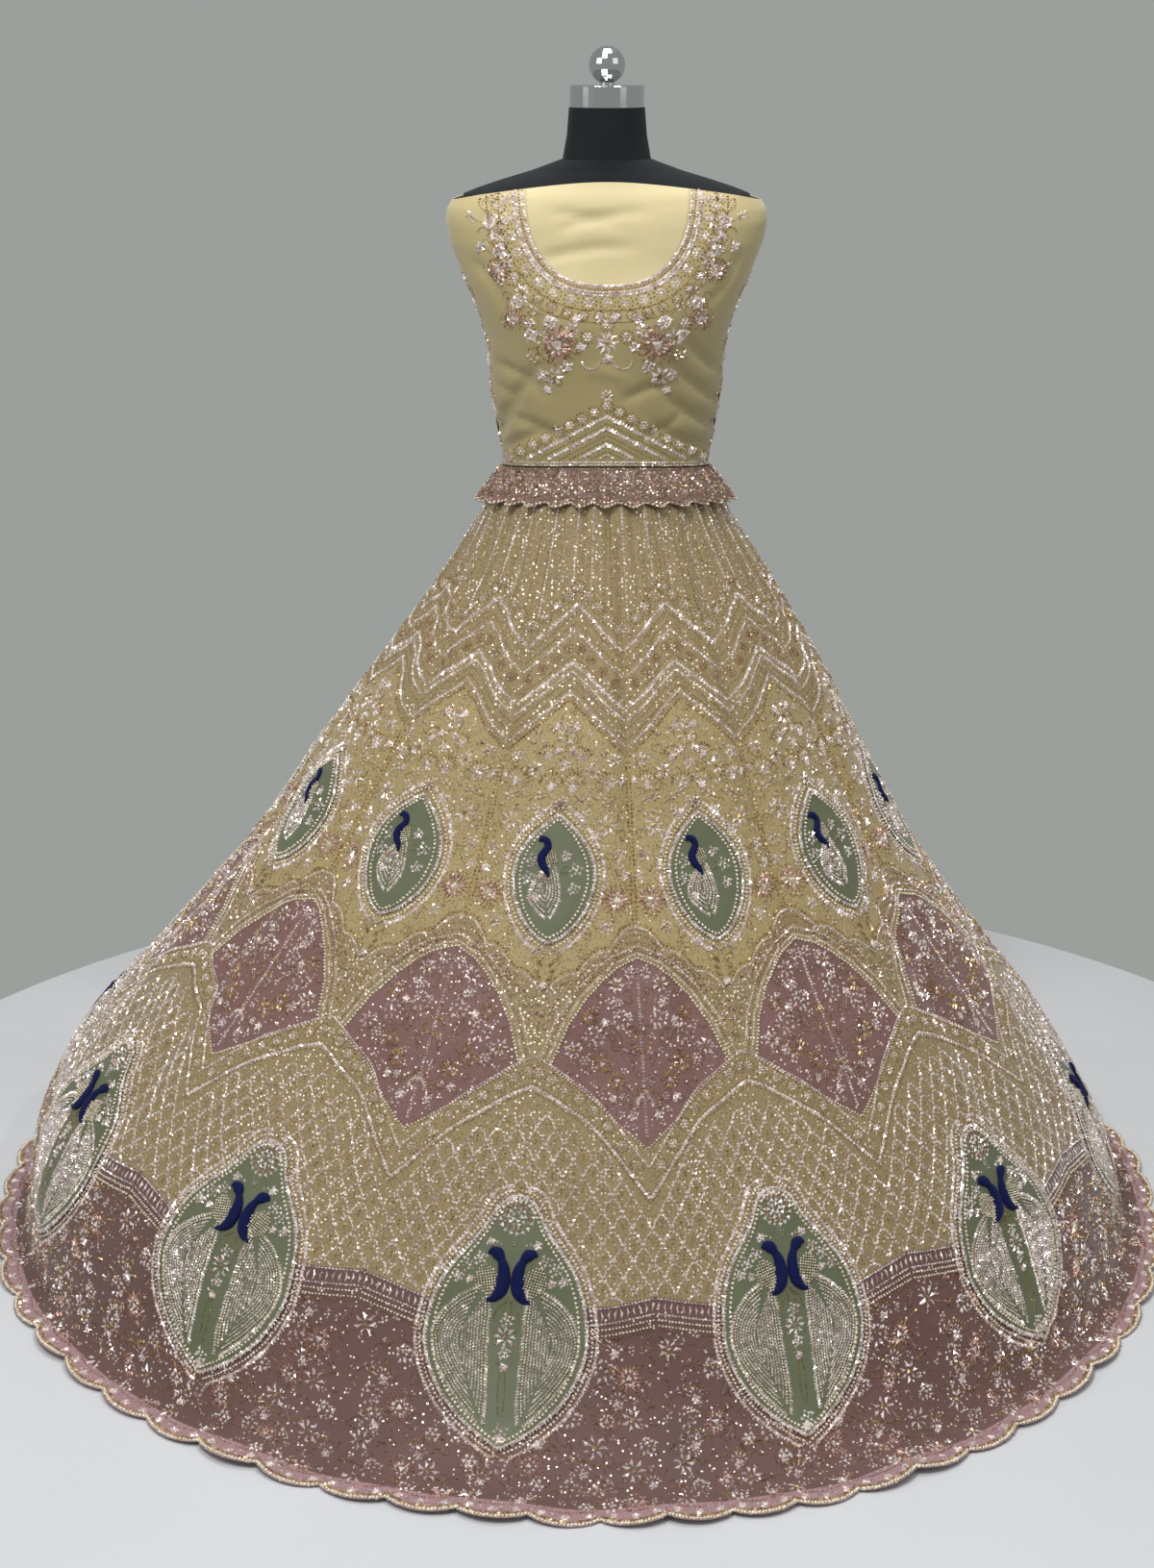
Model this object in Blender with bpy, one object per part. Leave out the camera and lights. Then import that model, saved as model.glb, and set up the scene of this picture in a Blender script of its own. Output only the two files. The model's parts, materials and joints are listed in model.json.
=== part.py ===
"""A lehenga choli worn by a limbless dress form.

The skirt is twelve flared panels with a pink border sewn to each, a waistband,
a gathered frill and green leaf-shaped patches. The choli is a front and a back
wrapped round the form. Units are metres, +Z is up, the front faces -Y, and the
origin is the centre of the stand's underside.
"""
import math

import bmesh
import bpy
import numpy as np

# Driving sizes of the cloth
WALL = 0.002
SEAM = 0.0003
LAYER_GAP = 0.0004
PANEL_COUNT = 12
PANEL_TURN = math.radians(5.1)
PANEL_COLUMNS = 8
BORDER_COLUMNS = 10
WAIST_RADIUS = 0.1235
WAIST_HEIGHT = 0.951
WAIST_FLATNESS = 0.0228
WAIST_FRONT_RISE = 0.018
WAIST_RISE_LENGTH = 0.25
HEM_LENGTH = 1.22
LOOSE_FROM = 0.90
FRONT_SPREAD = 0.045
FRONT_SPREAD_LENGTH = 0.4

# The skirt's section towards each side, from the waist down to the hem on the floor
FRONT_SECTION = (
    # radius, height
    (WAIST_RADIUS - WAIST_FLATNESS, WAIST_HEIGHT),
    (0.130, 0.900),
    (0.198, 0.784),
    (0.254, 0.683),
    (0.316, 0.561),
    (0.373, 0.467),
    (0.447, 0.360),
    (0.522, 0.252),
    (0.580, 0.166),
    (0.631, 0.097),
    (0.681, 0.045),
    (0.728, 0.013),
    (0.752, 0.002),
    (0.802, 0.002),
)
LEFT_SECTION = (
    # radius, height
    (WAIST_RADIUS, WAIST_HEIGHT),
    (0.153, 0.897),
    (0.193, 0.837),
    (0.270, 0.731),
    (0.349, 0.623),
    (0.418, 0.520),
    (0.497, 0.425),
    (0.578, 0.335),
    (0.655, 0.245),
    (0.716, 0.165),
    (0.744, 0.095),
    (0.751, 0.040),
    (0.755, 0.012),
    (0.760, 0.002),
    (0.800, 0.002),
)
RIGHT_SECTION = (
    # radius, height
    (WAIST_RADIUS, WAIST_HEIGHT),
    (0.153, 0.897),
    (0.195, 0.838),
    (0.262, 0.728),
    (0.321, 0.613),
    (0.381, 0.501),
    (0.451, 0.399),
    (0.524, 0.304),
    (0.590, 0.212),
    (0.636, 0.130),
    (0.664, 0.060),
    (0.675, 0.016),
    (0.684, 0.002),
    (0.728, 0.002),
)
BACK_SECTION = (
    # radius, height
    (WAIST_RADIUS - WAIST_FLATNESS, WAIST_HEIGHT),
    (0.127, 0.897),
    (0.160, 0.838),
    (0.224, 0.728),
    (0.286, 0.613),
    (0.348, 0.501),
    (0.416, 0.399),
    (0.485, 0.304),
    (0.548, 0.212),
    (0.590, 0.130),
    (0.610, 0.060),
    (0.618, 0.016),
    (0.625, 0.002),
    (0.667, 0.002),
)
# Slant distances from the waist at which the panels and borders have a row of points
PANEL_ROWS = (0.0, 0.06, 0.135, 0.22, 0.32, 0.43, 0.53, 0.67, 0.81, 0.943)
BORDER_ROWS = (0.943, 1.0, 1.055, 1.11, 1.182)
HEM_SLANT = 1.205
SCALLOP_DEPTH = 0.012
SCALLOPS_PER_PANEL = 5
SCALLOP_ROUNDNESS = 0.7

# Each panel has three folds: one runs down its seam, two end above the patches
FOLD_WIDTH = math.radians(3.1)
FOLDS = (
    # panel angle in degrees, depth, slant where it has faded out
    (0.5, 0.0090, 0.74),
    (10.4, 0.0070, 0.38),
    (19.2, 0.0060, 0.33),
    (30.8, 0.0100, 0.80),
    (39.5, 0.0055, 0.30),
    (50.6, 0.0075, 0.40),
    (59.4, 0.0110, 0.86),
    (70.9, 0.0065, 0.37),
    (79.3, 0.0080, 0.40),
    (90.5, 0.0120, 0.84),
    (100.8, 0.0070, 0.36),
    (109.4, 0.0060, 0.40),
    (120.3, 0.0095, 0.78),
    (129.6, 0.0080, 0.34),
    (140.5, 0.0060, 0.38),
    (149.5, 0.0085, 0.72),
    (160.7, 0.0070, 0.40),
    (169.2, 0.0055, 0.33),
    (180.6, 0.0090, 0.76),
    (190.3, 0.0075, 0.39),
    (199.6, 0.0065, 0.34),
    (209.7, 0.0080, 0.70),
    (220.8, 0.0060, 0.38),
    (229.5, 0.0075, 0.36),
    (240.4, 0.0095, 0.80),
    (250.6, 0.0070, 0.40),
    (259.4, 0.0060, 0.35),
    (269.6, 0.0120, 0.86),
    (280.5, 0.0080, 0.39),
    (289.6, 0.0070, 0.37),
    (300.7, 0.0110, 0.84),
    (310.4, 0.0065, 0.34),
    (319.3, 0.0080, 0.40),
    (329.6, 0.0095, 0.78),
    (340.6, 0.0060, 0.36),
    (349.4, 0.0070, 0.38),
)
FOLD_START = 0.045
FOLD_FULL = 0.13
FOLD_FADE_SHARE = 0.45

# Leaf-shaped patches, centred between the seams, as shares of their half width
PATCH_LIFT = 0.0008
PATCH_WALL = 0.0015
PATCH_PAD_SPREAD = 1.5
SMALL_PATCH_HALF_WIDTH = 0.049
SMALL_PATCH_PADDING = 0.0015
SMALL_PATCH = (
    # slant, share of the half width
    (0.400, 0.06),
    (0.430, 0.62),
    (0.475, 1.00),
    (0.530, 0.60),
    (0.552, 0.06),
)
LARGE_PATCH_HALF_WIDTH = 0.091
LARGE_PATCH_PADDING = 0.003
LARGE_PATCH = (
    # slant, share of the half width
    (0.836, 0.05),
    (0.885, 0.56),
    (0.943, 0.90),
    (1.000, 1.00),
    (1.055, 0.80),
    (1.095, 0.38),
    (1.118, 0.05),
)

# Waistband and frill
BAND_TOP = 0.9515
BAND_HEIGHT = 0.030
FRILL_TOP = 0.9517
FRILL_HEIGHT = 0.040
FRILL_TOP_RADIUS = 0.1263
FRILL_BOTTOM_RADIUS = 0.1540
FRILL_GATHERS = 36
FRILL_COLUMNS_PER_GATHER = 3
FRILL_TOP_WAVE = 0.0006
FRILL_BOTTOM_WAVE = 0.0032
FRILL_EDGE_WAVE = 0.003

# The dress form: an oval section at each height
SHOULDER_HEIGHT = 1.279
FORM_COLUMNS = 36
FORM_SECTIONS = (
    # height, half width, half depth, squareness of the oval
    (0.700, 0.1470, 0.1020, 2.0),
    (0.790, 0.1530, 0.1110, 2.0),
    (0.885, 0.1345, 0.1020, 2.0),
    (0.920, 0.1245, 0.0980, 2.0),
    (0.945, 0.1185, 0.0950, 2.0),
    (0.970, 0.1182, 0.0945, 2.0),
    (1.008, 0.1256, 0.0960, 2.0),
    (1.047, 0.1315, 0.0985, 2.0),
    (1.080, 0.1339, 0.1005, 2.05),
    (1.115, 0.1378, 0.1015, 2.1),
    (1.138, 0.1446, 0.1015, 2.15),
    (1.179, 0.1606, 0.0985, 2.25),
    (1.224, 0.1774, 0.0900, 2.35),
    (1.247, 0.1808, 0.0840, 2.4),
    (1.262, 0.1785, 0.0790, 2.35),
    (SHOULDER_HEIGHT, 0.1680, 0.0720, 2.3),
    (1.286, 0.1500, 0.0670, 2.2),
    (1.295, 0.1220, 0.0620, 2.1),
    (1.305, 0.0880, 0.0560, 2.0),
    (1.318, 0.0520, 0.0500, 2.0),
    (1.345, 0.0470, 0.0470, 2.0),
    (1.376, 0.0445, 0.0445, 2.0),
)
BUST_HEIGHT = 1.135
BUST_SPACING = 0.060
BUST_SPREAD = 0.045
BUST_DEPTH = 0.014

# The choli lies on the form, and stands a little off it at its top edge
CHOLI_COLUMNS = 18
CHOLI_HEM = 0.9532
CHOLI_ROW_HEIGHTS = (1.008, 1.047, 1.080, 1.115, 1.138, 1.179, 1.224, 1.247, 1.262)
CHOLI_TOP_AT_SIDES = 1.272
CHOLI_TOP_RISE = 0.023
CHOLI_GAP = 0.0005
CHOLI_TOP_GAP = 0.003
CHOLI_LOOSE_FROM = 1.20
CHOLI_SHOULDER_SHARE = 0.85
CHOLI_SIDE_GAP = math.radians(0.08)

# Neck cap, ball and stand
CAP_RADIUS = 0.0437
CAP_BOTTOM = 1.3763
CAP_TOP = 1.4010
BALL_RADIUS = 0.0215
BALL_TOP = 1.4450
BALL_STEM_RADIUS = 0.009
BALL_RINGS = 9
BALL_SIDES = 20
POLE_RADIUS = 0.016
BASE_RADIUS = 0.170
BASE_THICKNESS = 0.012
ROUND_SEGMENTS = 36
EDGE_ROUNDING = 0.0015


def clear_scene():
    for old in list(bpy.data.objects):
        bpy.data.objects.remove(old, do_unlink=True)


def make_material(name, colour, roughness, metallic=0.0):
    material = bpy.data.materials.new(name)
    material.use_nodes = True
    shader = material.node_tree.nodes["Principled BSDF"]
    shader.inputs["Base Color"].default_value = (*colour, 1.0)
    shader.inputs["Roughness"].default_value = roughness
    shader.inputs["Metallic"].default_value = metallic
    return material


def add_object(name, mesh_builder, material, sharp_angle=50.0):
    """Turn a bmesh into an object with smooth shading and its own material."""
    mesh = bpy.data.meshes.new(name)
    bmesh.ops.recalc_face_normals(mesh_builder, faces=mesh_builder.faces[:])
    mesh_builder.to_mesh(mesh)
    mesh_builder.free()
    mesh.shade_smooth()
    mesh.set_sharp_from_angle(angle=math.radians(sharp_angle))
    mesh.materials.append(material)
    piece = bpy.data.objects.new(name, mesh)
    bpy.context.scene.collection.objects.link(piece)
    return piece


def grid_faces(mesh_builder, points, ring):
    """Add a grid of points, rows by columns, with its faces. Returns the vertices."""
    rows = [[mesh_builder.verts.new(point) for point in row] for row in points]
    for low, high in zip(rows, rows[1:]):
        count = len(low)
        for i in range(count if ring else count - 1):
            j = (i + 1) % count
            mesh_builder.faces.new((low[i], low[j], high[j], high[i]))
    return rows


def rim(rows, ring):
    """The closed loops of vertices round a grid's edge."""
    if ring:
        return [rows[0], rows[-1]]
    right = [row[-1] for row in rows[1:-1]]
    left = [row[0] for row in rows[1:-1]]
    return [rows[0] + right + rows[-1][::-1] + left[::-1]]


def cloth_wall(outer, inner, ring=False):
    """A closed wall between two grids of points that match one to one."""
    wall = bmesh.new()
    outer_rows = grid_faces(wall, outer, ring)
    inner_rows = grid_faces(wall, inner, ring)
    for outside, inside in zip(rim(outer_rows, ring), rim(inner_rows, ring)):
        for i, vertex in enumerate(outside):
            j = (i + 1) % len(outside)
            wall.faces.new((vertex, outside[j], inside[j], inside[i]))
    return wall


def smooth_section(points, steps=60):
    """A smooth curve through the section's points, with its length at each sample."""
    knots = np.array(points)
    chord = np.r_[0.0, np.cumsum(np.linalg.norm(np.diff(knots, axis=0), axis=1))]
    slopes = np.gradient(knots, chord, axis=0)
    samples = []
    for i in range(len(knots) - 1):
        span = chord[i + 1] - chord[i]
        t = np.linspace(0.0, 1.0, steps, endpoint=False)[:, None]
        samples.append(
            (2 * t ** 3 - 3 * t ** 2 + 1) * knots[i]
            + (t ** 3 - 2 * t ** 2 + t) * span * slopes[i]
            + (3 * t ** 2 - 2 * t ** 3) * knots[i + 1]
            + (t ** 3 - t ** 2) * span * slopes[i + 1]
        )
    curve = np.vstack(samples + [knots[-1:]])
    length = np.r_[0.0, np.cumsum(np.linalg.norm(np.diff(curve, axis=0), axis=1))]
    return length, curve[:, 0], curve[:, 1]


class Section:
    """One of the skirt's sections, read at a slant distance from the waist.

    A section shorter than the cloth takes up the rest below LOOSE_FROM, where
    the real cloth lies in small ripples.
    """

    def __init__(self, points):
        self.length, self.radii, self.heights = smooth_section(points)

    def along(self, slant):
        return np.interp(
            slant, (0.0, LOOSE_FROM, HEM_LENGTH), (0.0, LOOSE_FROM, self.length[-1])
        )

    def radius(self, slant):
        return np.interp(self.along(slant), self.length, self.radii)

    def height(self, slant):
        return np.interp(self.along(slant), self.length, self.heights)


FRONT = Section(FRONT_SECTION)
BACK = Section(BACK_SECTION)
LEFT = Section(LEFT_SECTION)
RIGHT = Section(RIGHT_SECTION)


def ease(value, start, end):
    """0 before start, 1 after end, and a soft turn between."""
    t = np.clip((value - start) / (end - start), 0.0, 1.0)
    return t * t * (3.0 - 2.0 * t)


def front_rise(angle):
    """How far the waist line climbs towards the front."""
    return WAIST_FRONT_RISE * ((1.0 + np.cos(angle)) / 2.0) ** 2


def fold_depth(panel_angle, slant):
    """How far the gathers draw the cloth in at a point."""
    depth = np.zeros(np.broadcast(panel_angle, slant).shape)
    for degrees, deep, end in FOLDS:
        away = (panel_angle - math.radians(degrees) + math.pi) % (2.0 * math.pi) - math.pi
        fade = ease(slant, FOLD_START, FOLD_FULL) * (1.0 - ease(slant, FOLD_FADE_SHARE * end, end))
        depth = depth + deep * fade * np.exp(-((away / FOLD_WIDTH) ** 2))
    return depth


def skirt_surface(panel_angle, slant):
    """The skirt's outer face at a panel angle and a slant distance from the waist."""
    angle = panel_angle + PANEL_TURN
    angle = angle - FRONT_SPREAD * np.sin(2.0 * angle) * ease(slant, 0.0, FRONT_SPREAD_LENGTH)
    sine = np.sin(angle)
    cosine = np.cos(angle)
    drawn_in = fold_depth(panel_angle, slant)
    along_x = np.where(sine > 0.0, RIGHT.radius(slant), LEFT.radius(slant)) - drawn_in
    along_y = np.where(cosine > 0.0, FRONT.radius(slant), BACK.radius(slant)) - drawn_in
    side_height = np.where(sine > 0.0, RIGHT.height(slant), LEFT.height(slant))
    face_height = np.where(cosine > 0.0, FRONT.height(slant), BACK.height(slant))
    height = side_height * sine ** 2 + face_height * cosine ** 2
    height = height + front_rise(angle) * (1.0 - ease(slant, 0.0, WAIST_RISE_LENGTH))
    surface = np.broadcast_arrays(along_x * sine, -along_y * cosine, np.maximum(height, WALL))
    return np.stack(surface, axis=-1)


def skirt_normal(panel_angle, slant):
    """The outward normal of the skirt, straight up where it lies on the floor."""
    step = 0.0005
    across = skirt_surface(panel_angle + step, slant) - skirt_surface(panel_angle - step, slant)
    down = skirt_surface(panel_angle, slant + step) - skirt_surface(panel_angle, slant - step)
    normal = np.cross(down, across)
    normal = normal / np.linalg.norm(normal, axis=-1, keepdims=True)
    lying = skirt_surface(panel_angle, slant)[..., 2:] < WALL + 1e-6
    return np.where(lying, (0.0, 0.0, 1.0), normal)


def lifted_skirt(panel_angle, slant, lift):
    """A point a set height over the skirt's outer face, or under it."""
    lift = np.asarray(lift)[..., None] * np.ones(3)
    return skirt_surface(panel_angle, slant) + lift * skirt_normal(panel_angle, slant)


def on_skirt_rows(panel_angle, slant, lift):
    """The same, on the flat stretches between the rows that the panels have."""
    rows = np.array(PANEL_ROWS + BORDER_ROWS[1:])
    index = np.clip(np.searchsorted(rows, slant, side="right") - 1, 0, len(rows) - 2)
    share = ((slant - rows[index]) / (rows[index + 1] - rows[index]))[..., None]
    above = lifted_skirt(panel_angle, rows[index], lift)
    below = lifted_skirt(panel_angle, rows[index + 1], lift)
    return above * (1.0 - share) + below * share


def panel_angles(panel, share, slant):
    """Panel angles across one panel, clear of its two seams at each slant."""
    pitch = 2.0 * math.pi / PANEL_COUNT
    margin = SEAM / 2.0 / BACK.radius(slant)
    return panel * pitch + margin + share * (pitch - 2.0 * margin)


def make_panel(panel, material):
    """One cream panel, from the waist down to its border."""
    share = np.linspace(0.0, 1.0, PANEL_COLUMNS + 1)
    rows = PANEL_ROWS[:-1] + (PANEL_ROWS[-1] - SEAM,)
    slant = np.array([np.full_like(share, row) for row in rows])
    angle = panel_angles(panel, share, slant)
    outer = lifted_skirt(angle, slant, 0.0)
    inner = lifted_skirt(angle, slant, -WALL)
    add_object(f"kali_{panel + 1:02d}", cloth_wall(outer, inner), material)


def make_border(panel, material):
    """The pink border of one panel, down to its scalloped edge on the floor."""
    share = np.linspace(0.0, 1.0, BORDER_COLUMNS + 1)
    scallop = np.abs(np.sin(math.pi * SCALLOPS_PER_PANEL * share)) ** SCALLOP_ROUNDNESS
    hem = HEM_SLANT + SCALLOP_DEPTH * scallop
    slant = np.array([np.full_like(share, row) for row in BORDER_ROWS] + [hem])
    angle = panel_angles(panel, share, slant)
    outer = lifted_skirt(angle, slant, 0.0)
    inner = lifted_skirt(angle, slant, -WALL)
    inner[..., 2] = np.maximum(inner[..., 2], 0.0)
    add_object(f"border_{panel + 1:02d}", cloth_wall(outer, inner), material)


def make_patch(name, panel, table, half_width, columns, padding, material):
    """A leaf-shaped green patch, padded in the middle, on the panel's own points."""
    centre = (panel + 0.5) * 2.0 * math.pi / PANEL_COUNT
    across = np.linspace(-1.0, 1.0, columns + 1)
    slant = np.array([[row[0]] * (columns + 1) for row in table])
    share = np.array([row[1] for row in table])[:, None]
    radius = (FRONT.radius(slant) + LEFT.radius(slant)) / 2.0
    angle = centre + across[None, :] * share * half_width / radius
    pad = padding * (1.0 - across[None, :] ** 2) * np.minimum(share * PATCH_PAD_SPREAD, 1.0)
    pad[0] = pad[-1] = 0.0
    inner = on_skirt_rows(angle, slant, np.full_like(slant, PATCH_LIFT))
    outer = on_skirt_rows(angle, slant, PATCH_LIFT + PATCH_WALL + pad)
    add_object(name, cloth_wall(outer, inner), material, sharp_angle=60.0)


def form_section(height):
    """Half width, half depth and squareness of the form at a height."""
    table = np.array(FORM_SECTIONS)
    return [np.interp(height, table[:, 0], table[:, i]) for i in (1, 2, 3)]


def form_surface(angle, height, lift):
    """A point on the form, or a set height over it. Angle 0 is the front."""
    half_width, half_depth, squareness = form_section(height)
    sine = np.sin(angle)
    cosine = np.cos(angle)
    power = 2.0 / squareness
    x = (half_width + lift) * np.sign(sine) * np.abs(sine) ** power
    y = -(half_depth + lift) * np.sign(cosine) * np.abs(cosine) ** power
    upright = np.exp(-(((height - BUST_HEIGHT) / BUST_SPREAD) ** 2))
    beside = sum(np.exp(-(((x - side * BUST_SPACING) / BUST_SPREAD) ** 2)) for side in (-1, 1))
    y = y - BUST_DEPTH * upright * beside * np.clip(cosine, 0.0, 1.0)
    return np.stack(np.broadcast_arrays(x, y, height), axis=-1)


def make_choli_half(name, middle, material):
    """The front or the back of the choli, between two side seams."""
    reach = math.pi / 2.0 - CHOLI_SIDE_GAP
    angle = middle + np.linspace(-1.0, 1.0, CHOLI_COLUMNS + 1) * math.pi / 2.0
    angle[0] = middle - reach
    angle[-1] = middle + reach
    top = CHOLI_TOP_AT_SIDES + CHOLI_TOP_RISE * np.cos(angle) ** 2
    hem = CHOLI_HEM + front_rise(angle)
    rows = [hem] + [np.full_like(angle, height) for height in CHOLI_ROW_HEIGHTS]
    shoulder = np.minimum(rows[-1] + CHOLI_SHOULDER_SHARE * (top - rows[-1]), SHOULDER_HEIGHT)
    rows += [shoulder, top]
    height = np.array(rows)
    angle = np.broadcast_to(angle, height.shape)
    looseness = ease(height, CHOLI_LOOSE_FROM, CHOLI_TOP_AT_SIDES)
    gap = CHOLI_GAP + (CHOLI_TOP_GAP - CHOLI_GAP) * looseness
    outer = form_surface(angle, height, gap + WALL)
    inner = form_surface(angle, height, gap)
    add_object(name, cloth_wall(outer, inner), material)


def make_waistband(material):
    angle = np.linspace(0.0, 2.0 * math.pi, FORM_COLUMNS, endpoint=False)
    top = BAND_TOP + front_rise(angle)
    height = np.array([top - BAND_HEIGHT, top - BAND_HEIGHT / 2.0, top])
    angle = np.broadcast_to(angle, height.shape)
    outer = form_surface(angle, height, LAYER_GAP + WALL)
    inner = form_surface(angle, height, LAYER_GAP)
    add_object("skirt_waistband", cloth_wall(outer, inner, ring=True), material)


def make_frill(material):
    """The gathered frill: its waves deepen towards its free lower edge."""
    columns = FRILL_GATHERS * FRILL_COLUMNS_PER_GATHER
    angle = np.linspace(0.0, 2.0 * math.pi, columns, endpoint=False)
    share = np.array([0.0, 0.5, 1.0])[:, None]
    wave = np.cos(angle * FRILL_GATHERS)
    swing = FRILL_TOP_WAVE + (FRILL_BOTTOM_WAVE - FRILL_TOP_WAVE) * share
    radius = FRILL_TOP_RADIUS + (FRILL_BOTTOM_RADIUS - FRILL_TOP_RADIUS) * share + swing * wave
    height = FRILL_TOP + front_rise(angle) - FRILL_HEIGHT * share
    height = height - FRILL_EDGE_WAVE * share * wave
    layers = []
    for under in (0.0, WALL):
        x = (radius - under) * np.sin(angle)
        y = -(radius - WAIST_FLATNESS - under) * np.cos(angle)
        layers.append(np.stack([x, y, height], axis=-1))
    add_object("waist_frill", cloth_wall(layers[0], layers[1], ring=True), material)


def make_form(material):
    """Torso and neck in one solid, closed by flat caps."""
    angle = np.linspace(0.0, 2.0 * math.pi, FORM_COLUMNS, endpoint=False)
    height = np.array([[row[0]] * FORM_COLUMNS for row in FORM_SECTIONS])
    angle = np.broadcast_to(angle, height.shape)
    torso = bmesh.new()
    rows = grid_faces(torso, form_surface(angle, height, 0.0), ring=True)
    torso.faces.new(rows[0][::-1])
    torso.faces.new(rows[-1])
    add_object("form_torso", torso, material, sharp_angle=35.0)


def make_disc(name, radius, bottom, top, material):
    """An upright round with softened edges."""
    disc = bmesh.new()
    bmesh.ops.create_cone(
        disc, cap_ends=True, segments=ROUND_SEGMENTS, radius1=radius, radius2=radius, depth=top - bottom
    )
    bmesh.ops.translate(disc, verts=disc.verts[:], vec=(0.0, 0.0, (top + bottom) / 2.0))
    upper = [edge for edge in disc.edges if min(v.co.z for v in edge.verts) > top - 1e-6]
    bmesh.ops.bevel(
        disc, geom=upper, offset=EDGE_ROUNDING, offset_type="OFFSET", segments=2, profile=0.5,
        affect="EDGES", material=-1
    )
    add_object(name, disc, material, sharp_angle=40.0)


def make_ball(material):
    """The ball on the cap, with a short stem cut flat at its foot."""
    ball = bmesh.new()
    foot = CAP_TOP + SEAM
    centre = BALL_TOP - BALL_RADIUS
    reach = math.asin(BALL_STEM_RADIUS / BALL_RADIUS)
    profile = [ball.verts.new((BALL_STEM_RADIUS, 0.0, foot))]
    for i in range(BALL_RINGS):
        tilt = math.pi - reach - (math.pi - reach) * i / BALL_RINGS
        x = BALL_RADIUS * math.sin(tilt)
        z = centre + BALL_RADIUS * math.cos(tilt)
        profile.append(ball.verts.new((x, 0.0, z)))
    profile.append(ball.verts.new((0.0, 0.0, BALL_TOP)))
    profile.insert(0, ball.verts.new((0.0, 0.0, foot)))
    edges = [ball.edges.new(pair) for pair in zip(profile, profile[1:])]
    bmesh.ops.spin(
        ball, geom=profile + edges, cent=(0.0, 0.0, 0.0), axis=(0.0, 0.0, 1.0), angle=2.0 * math.pi,
        steps=BALL_SIDES, use_merge=True, use_duplicate=False
    )
    bmesh.ops.remove_doubles(ball, verts=ball.verts[:], dist=1e-6)
    add_object("cap_ball", ball, material, sharp_angle=60.0)


def main():
    clear_scene()
    cream = make_material("cream_net", (0.78, 0.68, 0.42), 0.6)
    pink = make_material("dusty_pink_net", (0.36, 0.19, 0.18), 0.6)
    green = make_material("green_patch", (0.12, 0.18, 0.09), 0.6)
    rose_gold = make_material("beaded_frill", (0.55, 0.34, 0.24), 0.4, 0.3)
    black = make_material("black_cover", (0.01, 0.012, 0.015), 0.85)
    chrome = make_material("chrome", (0.8, 0.8, 0.82), 0.12, 1.0)
    stand_black = make_material("stand_paint", (0.02, 0.02, 0.02), 0.5)

    make_form(black)
    make_disc("neck_cap", CAP_RADIUS, CAP_BOTTOM, CAP_TOP, chrome)
    make_ball(chrome)
    make_disc("stand_base", BASE_RADIUS, 0.0, BASE_THICKNESS, stand_black)
    pole_top = FORM_SECTIONS[0][0] - SEAM
    make_disc("stand_pole", POLE_RADIUS, BASE_THICKNESS + SEAM, pole_top, chrome)

    make_choli_half("choli_front", 0.0, cream)
    make_choli_half("choli_back", math.pi, cream)
    make_waistband(cream)
    make_frill(rose_gold)
    for panel in range(PANEL_COUNT):
        make_panel(panel, cream)
        make_border(panel, pink)
        number = f"{panel + 1:02d}"
        make_patch(
            f"small_patch_{number}", panel, SMALL_PATCH, SMALL_PATCH_HALF_WIDTH, 3,
            SMALL_PATCH_PADDING, green
        )
        make_patch(
            f"large_patch_{number}", panel, LARGE_PATCH, LARGE_PATCH_HALF_WIDTH, 4,
            LARGE_PATCH_PADDING, green
        )


main()
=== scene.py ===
# %% [markdown]
# This script gives a lehenga choli on a limbless dress form its looks. The packed
# solids come in as a fixed frame. Every piece made here lies on that frame, in
# metres, with +Z up and the front of the garment towards -Y.

# %% Load the frame
import json
import math

import bmesh
import bpy
import numpy as np
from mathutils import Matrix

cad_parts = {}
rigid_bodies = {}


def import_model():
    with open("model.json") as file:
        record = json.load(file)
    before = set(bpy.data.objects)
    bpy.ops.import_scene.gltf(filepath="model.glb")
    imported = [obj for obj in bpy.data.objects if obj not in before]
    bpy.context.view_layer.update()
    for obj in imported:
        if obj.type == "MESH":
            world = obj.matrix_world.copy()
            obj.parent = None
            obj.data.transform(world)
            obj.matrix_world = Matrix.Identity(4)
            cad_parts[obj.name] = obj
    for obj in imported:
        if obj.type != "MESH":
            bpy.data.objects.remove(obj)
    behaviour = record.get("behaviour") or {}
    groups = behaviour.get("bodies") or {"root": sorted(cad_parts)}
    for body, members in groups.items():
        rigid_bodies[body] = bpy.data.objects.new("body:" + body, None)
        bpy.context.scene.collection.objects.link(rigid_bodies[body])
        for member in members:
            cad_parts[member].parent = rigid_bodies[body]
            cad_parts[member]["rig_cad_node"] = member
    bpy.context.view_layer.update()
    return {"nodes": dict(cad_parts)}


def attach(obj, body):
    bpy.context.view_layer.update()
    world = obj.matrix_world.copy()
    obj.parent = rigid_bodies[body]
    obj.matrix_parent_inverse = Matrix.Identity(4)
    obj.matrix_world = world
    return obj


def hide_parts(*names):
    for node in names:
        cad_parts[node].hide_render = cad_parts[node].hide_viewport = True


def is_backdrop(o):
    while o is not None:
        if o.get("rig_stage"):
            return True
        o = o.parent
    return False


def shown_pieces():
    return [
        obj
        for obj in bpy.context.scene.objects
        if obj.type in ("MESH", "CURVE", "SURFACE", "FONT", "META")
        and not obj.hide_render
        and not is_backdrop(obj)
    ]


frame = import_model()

BODY = "root"

# %% [markdown]
# The camera stands a little above the shoulders and looks slightly down, as for a
# shop photograph. One long lens keeps the skirt's panels from spreading. The floor
# is a plain pale round. The light is soft, from wide lamps in front, at both sides
# and above, and two small lamps give the sequins their sparkle.

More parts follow.
